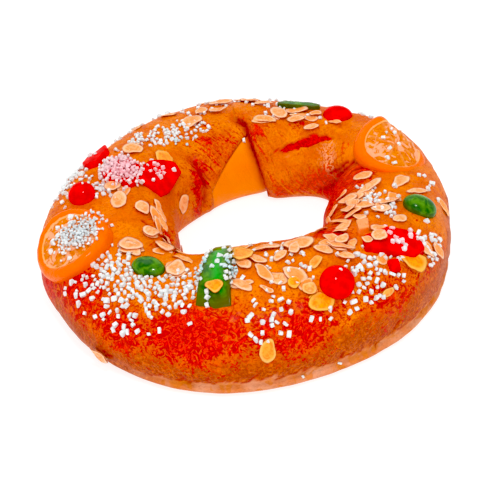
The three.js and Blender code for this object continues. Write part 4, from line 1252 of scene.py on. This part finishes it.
def make_flakes(ground, material):
    """Flakes pressed into the glaze lie flat and droop with the dough; loose ones tilt and curl."""
    draw = seeded(SEED + 2)
    points, rows = [], []
    for number, (ring, side, spin, length, width, *honeyed) in enumerate(FLAKES + LOOSE_FLAKES):
        loose = number >= len(FLAKES)
        point, normal, _ = ground.at(ring, side)
        along, inward, out = dough_axes(ring, side)
        facing = Vector(out * 0.5) + normal * 0.5
        way = Vector(math.cos(math.radians(spin)) * along + math.sin(math.radians(spin)) * inward)
        curve, honey, lift = 1 / FLAKE["bend"], FLAKE["honey"] * draw(), FLAKE["rise"]
        if loose:
            facing += Vector((draw() - 0.5, draw() - 0.5, draw() - 0.5)) * FLAKE["tilt"]
            curve, honey, inward = (draw() - FLAKE["curl_back"]) / FLAKE["curl"], 0, way
            lift += FLAKE["pile"] * (FLAKE["least"] + draw())
        facing.normalize()
        points.append(np.array(point + lift * facing))
        rows.append({"out": facing, "lengthwise": way, "towards": inward, "curve": curve / MM,
                     "size": (length * MM, width * MM, 1), "honey": honeyed[0] if honeyed else honey,
                     "tone": draw() ** 2})
    values = {key: [row[key] for row in rows] for key in rows[0]}
    return grown("almond_flakes", flake_tree(), material, points, ("honey", "tone"),
                 middle=np.array(points) * MM, **values)


# ---- stage ----

def make_stage():
    grey, edge = FLOOR["grey"], FLOOR["edge"]
    floor_finish = Finish("pale_floor", {
        "Base Color": (grey, grey, grey, 1), "Roughness": FLOOR["rough"], "Emission Color": (1, 1, 1, 1),
        "Emission Strength": FLOOR["glow"]})
    corners = [(-edge, -edge, 0), (edge, -edge, 0), (edge, edge, 0), (-edge, edge, 0)]
    new_piece("floor", corners, [(0, 1, 2, 3)], floor_finish.material)
    world = bpy.data.worlds.new("studio")
    world.use_nodes = True
    background = world.node_tree.nodes["Background"].inputs
    background["Color"].default_value = (1, 1, 1, 1)
    background["Strength"].default_value = SKY
    bpy.context.scene.world = world


def add_light(name, azimuth, elevation, distance, size, power):
    turn, rise = math.radians(azimuth), math.radians(elevation)
    away = Vector((math.sin(turn) * math.cos(rise), -math.cos(turn) * math.cos(rise), math.sin(rise)))
    light = bpy.data.lights.new(name, "AREA")
    light.size, light.energy = size, power
    lamp = added(name, light)
    lamp.location = away * distance
    lamp.rotation_mode = "QUATERNION"
    lamp.rotation_quaternion = away.to_track_quat("Z", "Y")


def make_camera():
    rise, roll = math.radians(CAMERA["elevation"]), math.radians(CAMERA["roll"])
    right, up = Vector((1, 0, 0)), Vector((0, math.sin(rise), math.cos(rise)))
    back = Vector((0, -math.cos(rise), math.sin(rise)))
    turned_right = math.cos(roll) * right - math.sin(roll) * up
    turned_up = math.sin(roll) * right + math.cos(roll) * up
    place = Matrix((turned_right, turned_up, back)).transposed().to_4x4()
    place.translation = (Vector(CAMERA["aim"]) + back * CAMERA["distance"]) * MM
    lens = bpy.data.cameras.new("camera")
    lens.lens, lens.sensor_width = CAMERA["lens"], CAMERA["sensor"]
    camera = added("camera", lens)
    camera.matrix_world = place
    bpy.context.scene.camera = camera


def set_film():
    """Plain screen colours, with the faint grey of the reflections taken out of the darks."""
    settings = bpy.context.scene.view_settings
    settings.view_transform = "Standard"
    settings.use_curve_mapping = True
    settings.curve_mapping.black_level = [BLACK_LEVEL] * 3
    settings.curve_mapping.update()


# ---- the roscon ----

fruit_finishes = {"red_fruit": red_finish(), "green_fruit": green_finish(), "candied_peel": peel_finish(),
                  "candied_orange": orange_finish()}
dough = make_dough(crust_finish())
fruit_pieces = []
for kind, make in [(SLICES, make_slice), (CHERRIES, make_cherry), (SLABS, make_slab)]:
    for fruit in kind:
        made = make(fruit, fruit_finishes[fruit["finish"]])
        fruit_pieces.append(made)
        stand_for(made, fruit["node"])

surface = Ground([dough, *fruit_pieces])
sugar = make_sugar(surface, SLICES + CHERRIES + SLABS, sugar_finish())
flakes = make_flakes(surface, almond_finish())
for topping, slot in [(dough, "crust"), (sugar, "sugar"), (flakes, "almond")]:
    stand_for(topping, "dough_ring")

make_stage()
for lamp in LIGHTS:
    add_light(**lamp)
make_camera()
set_film()
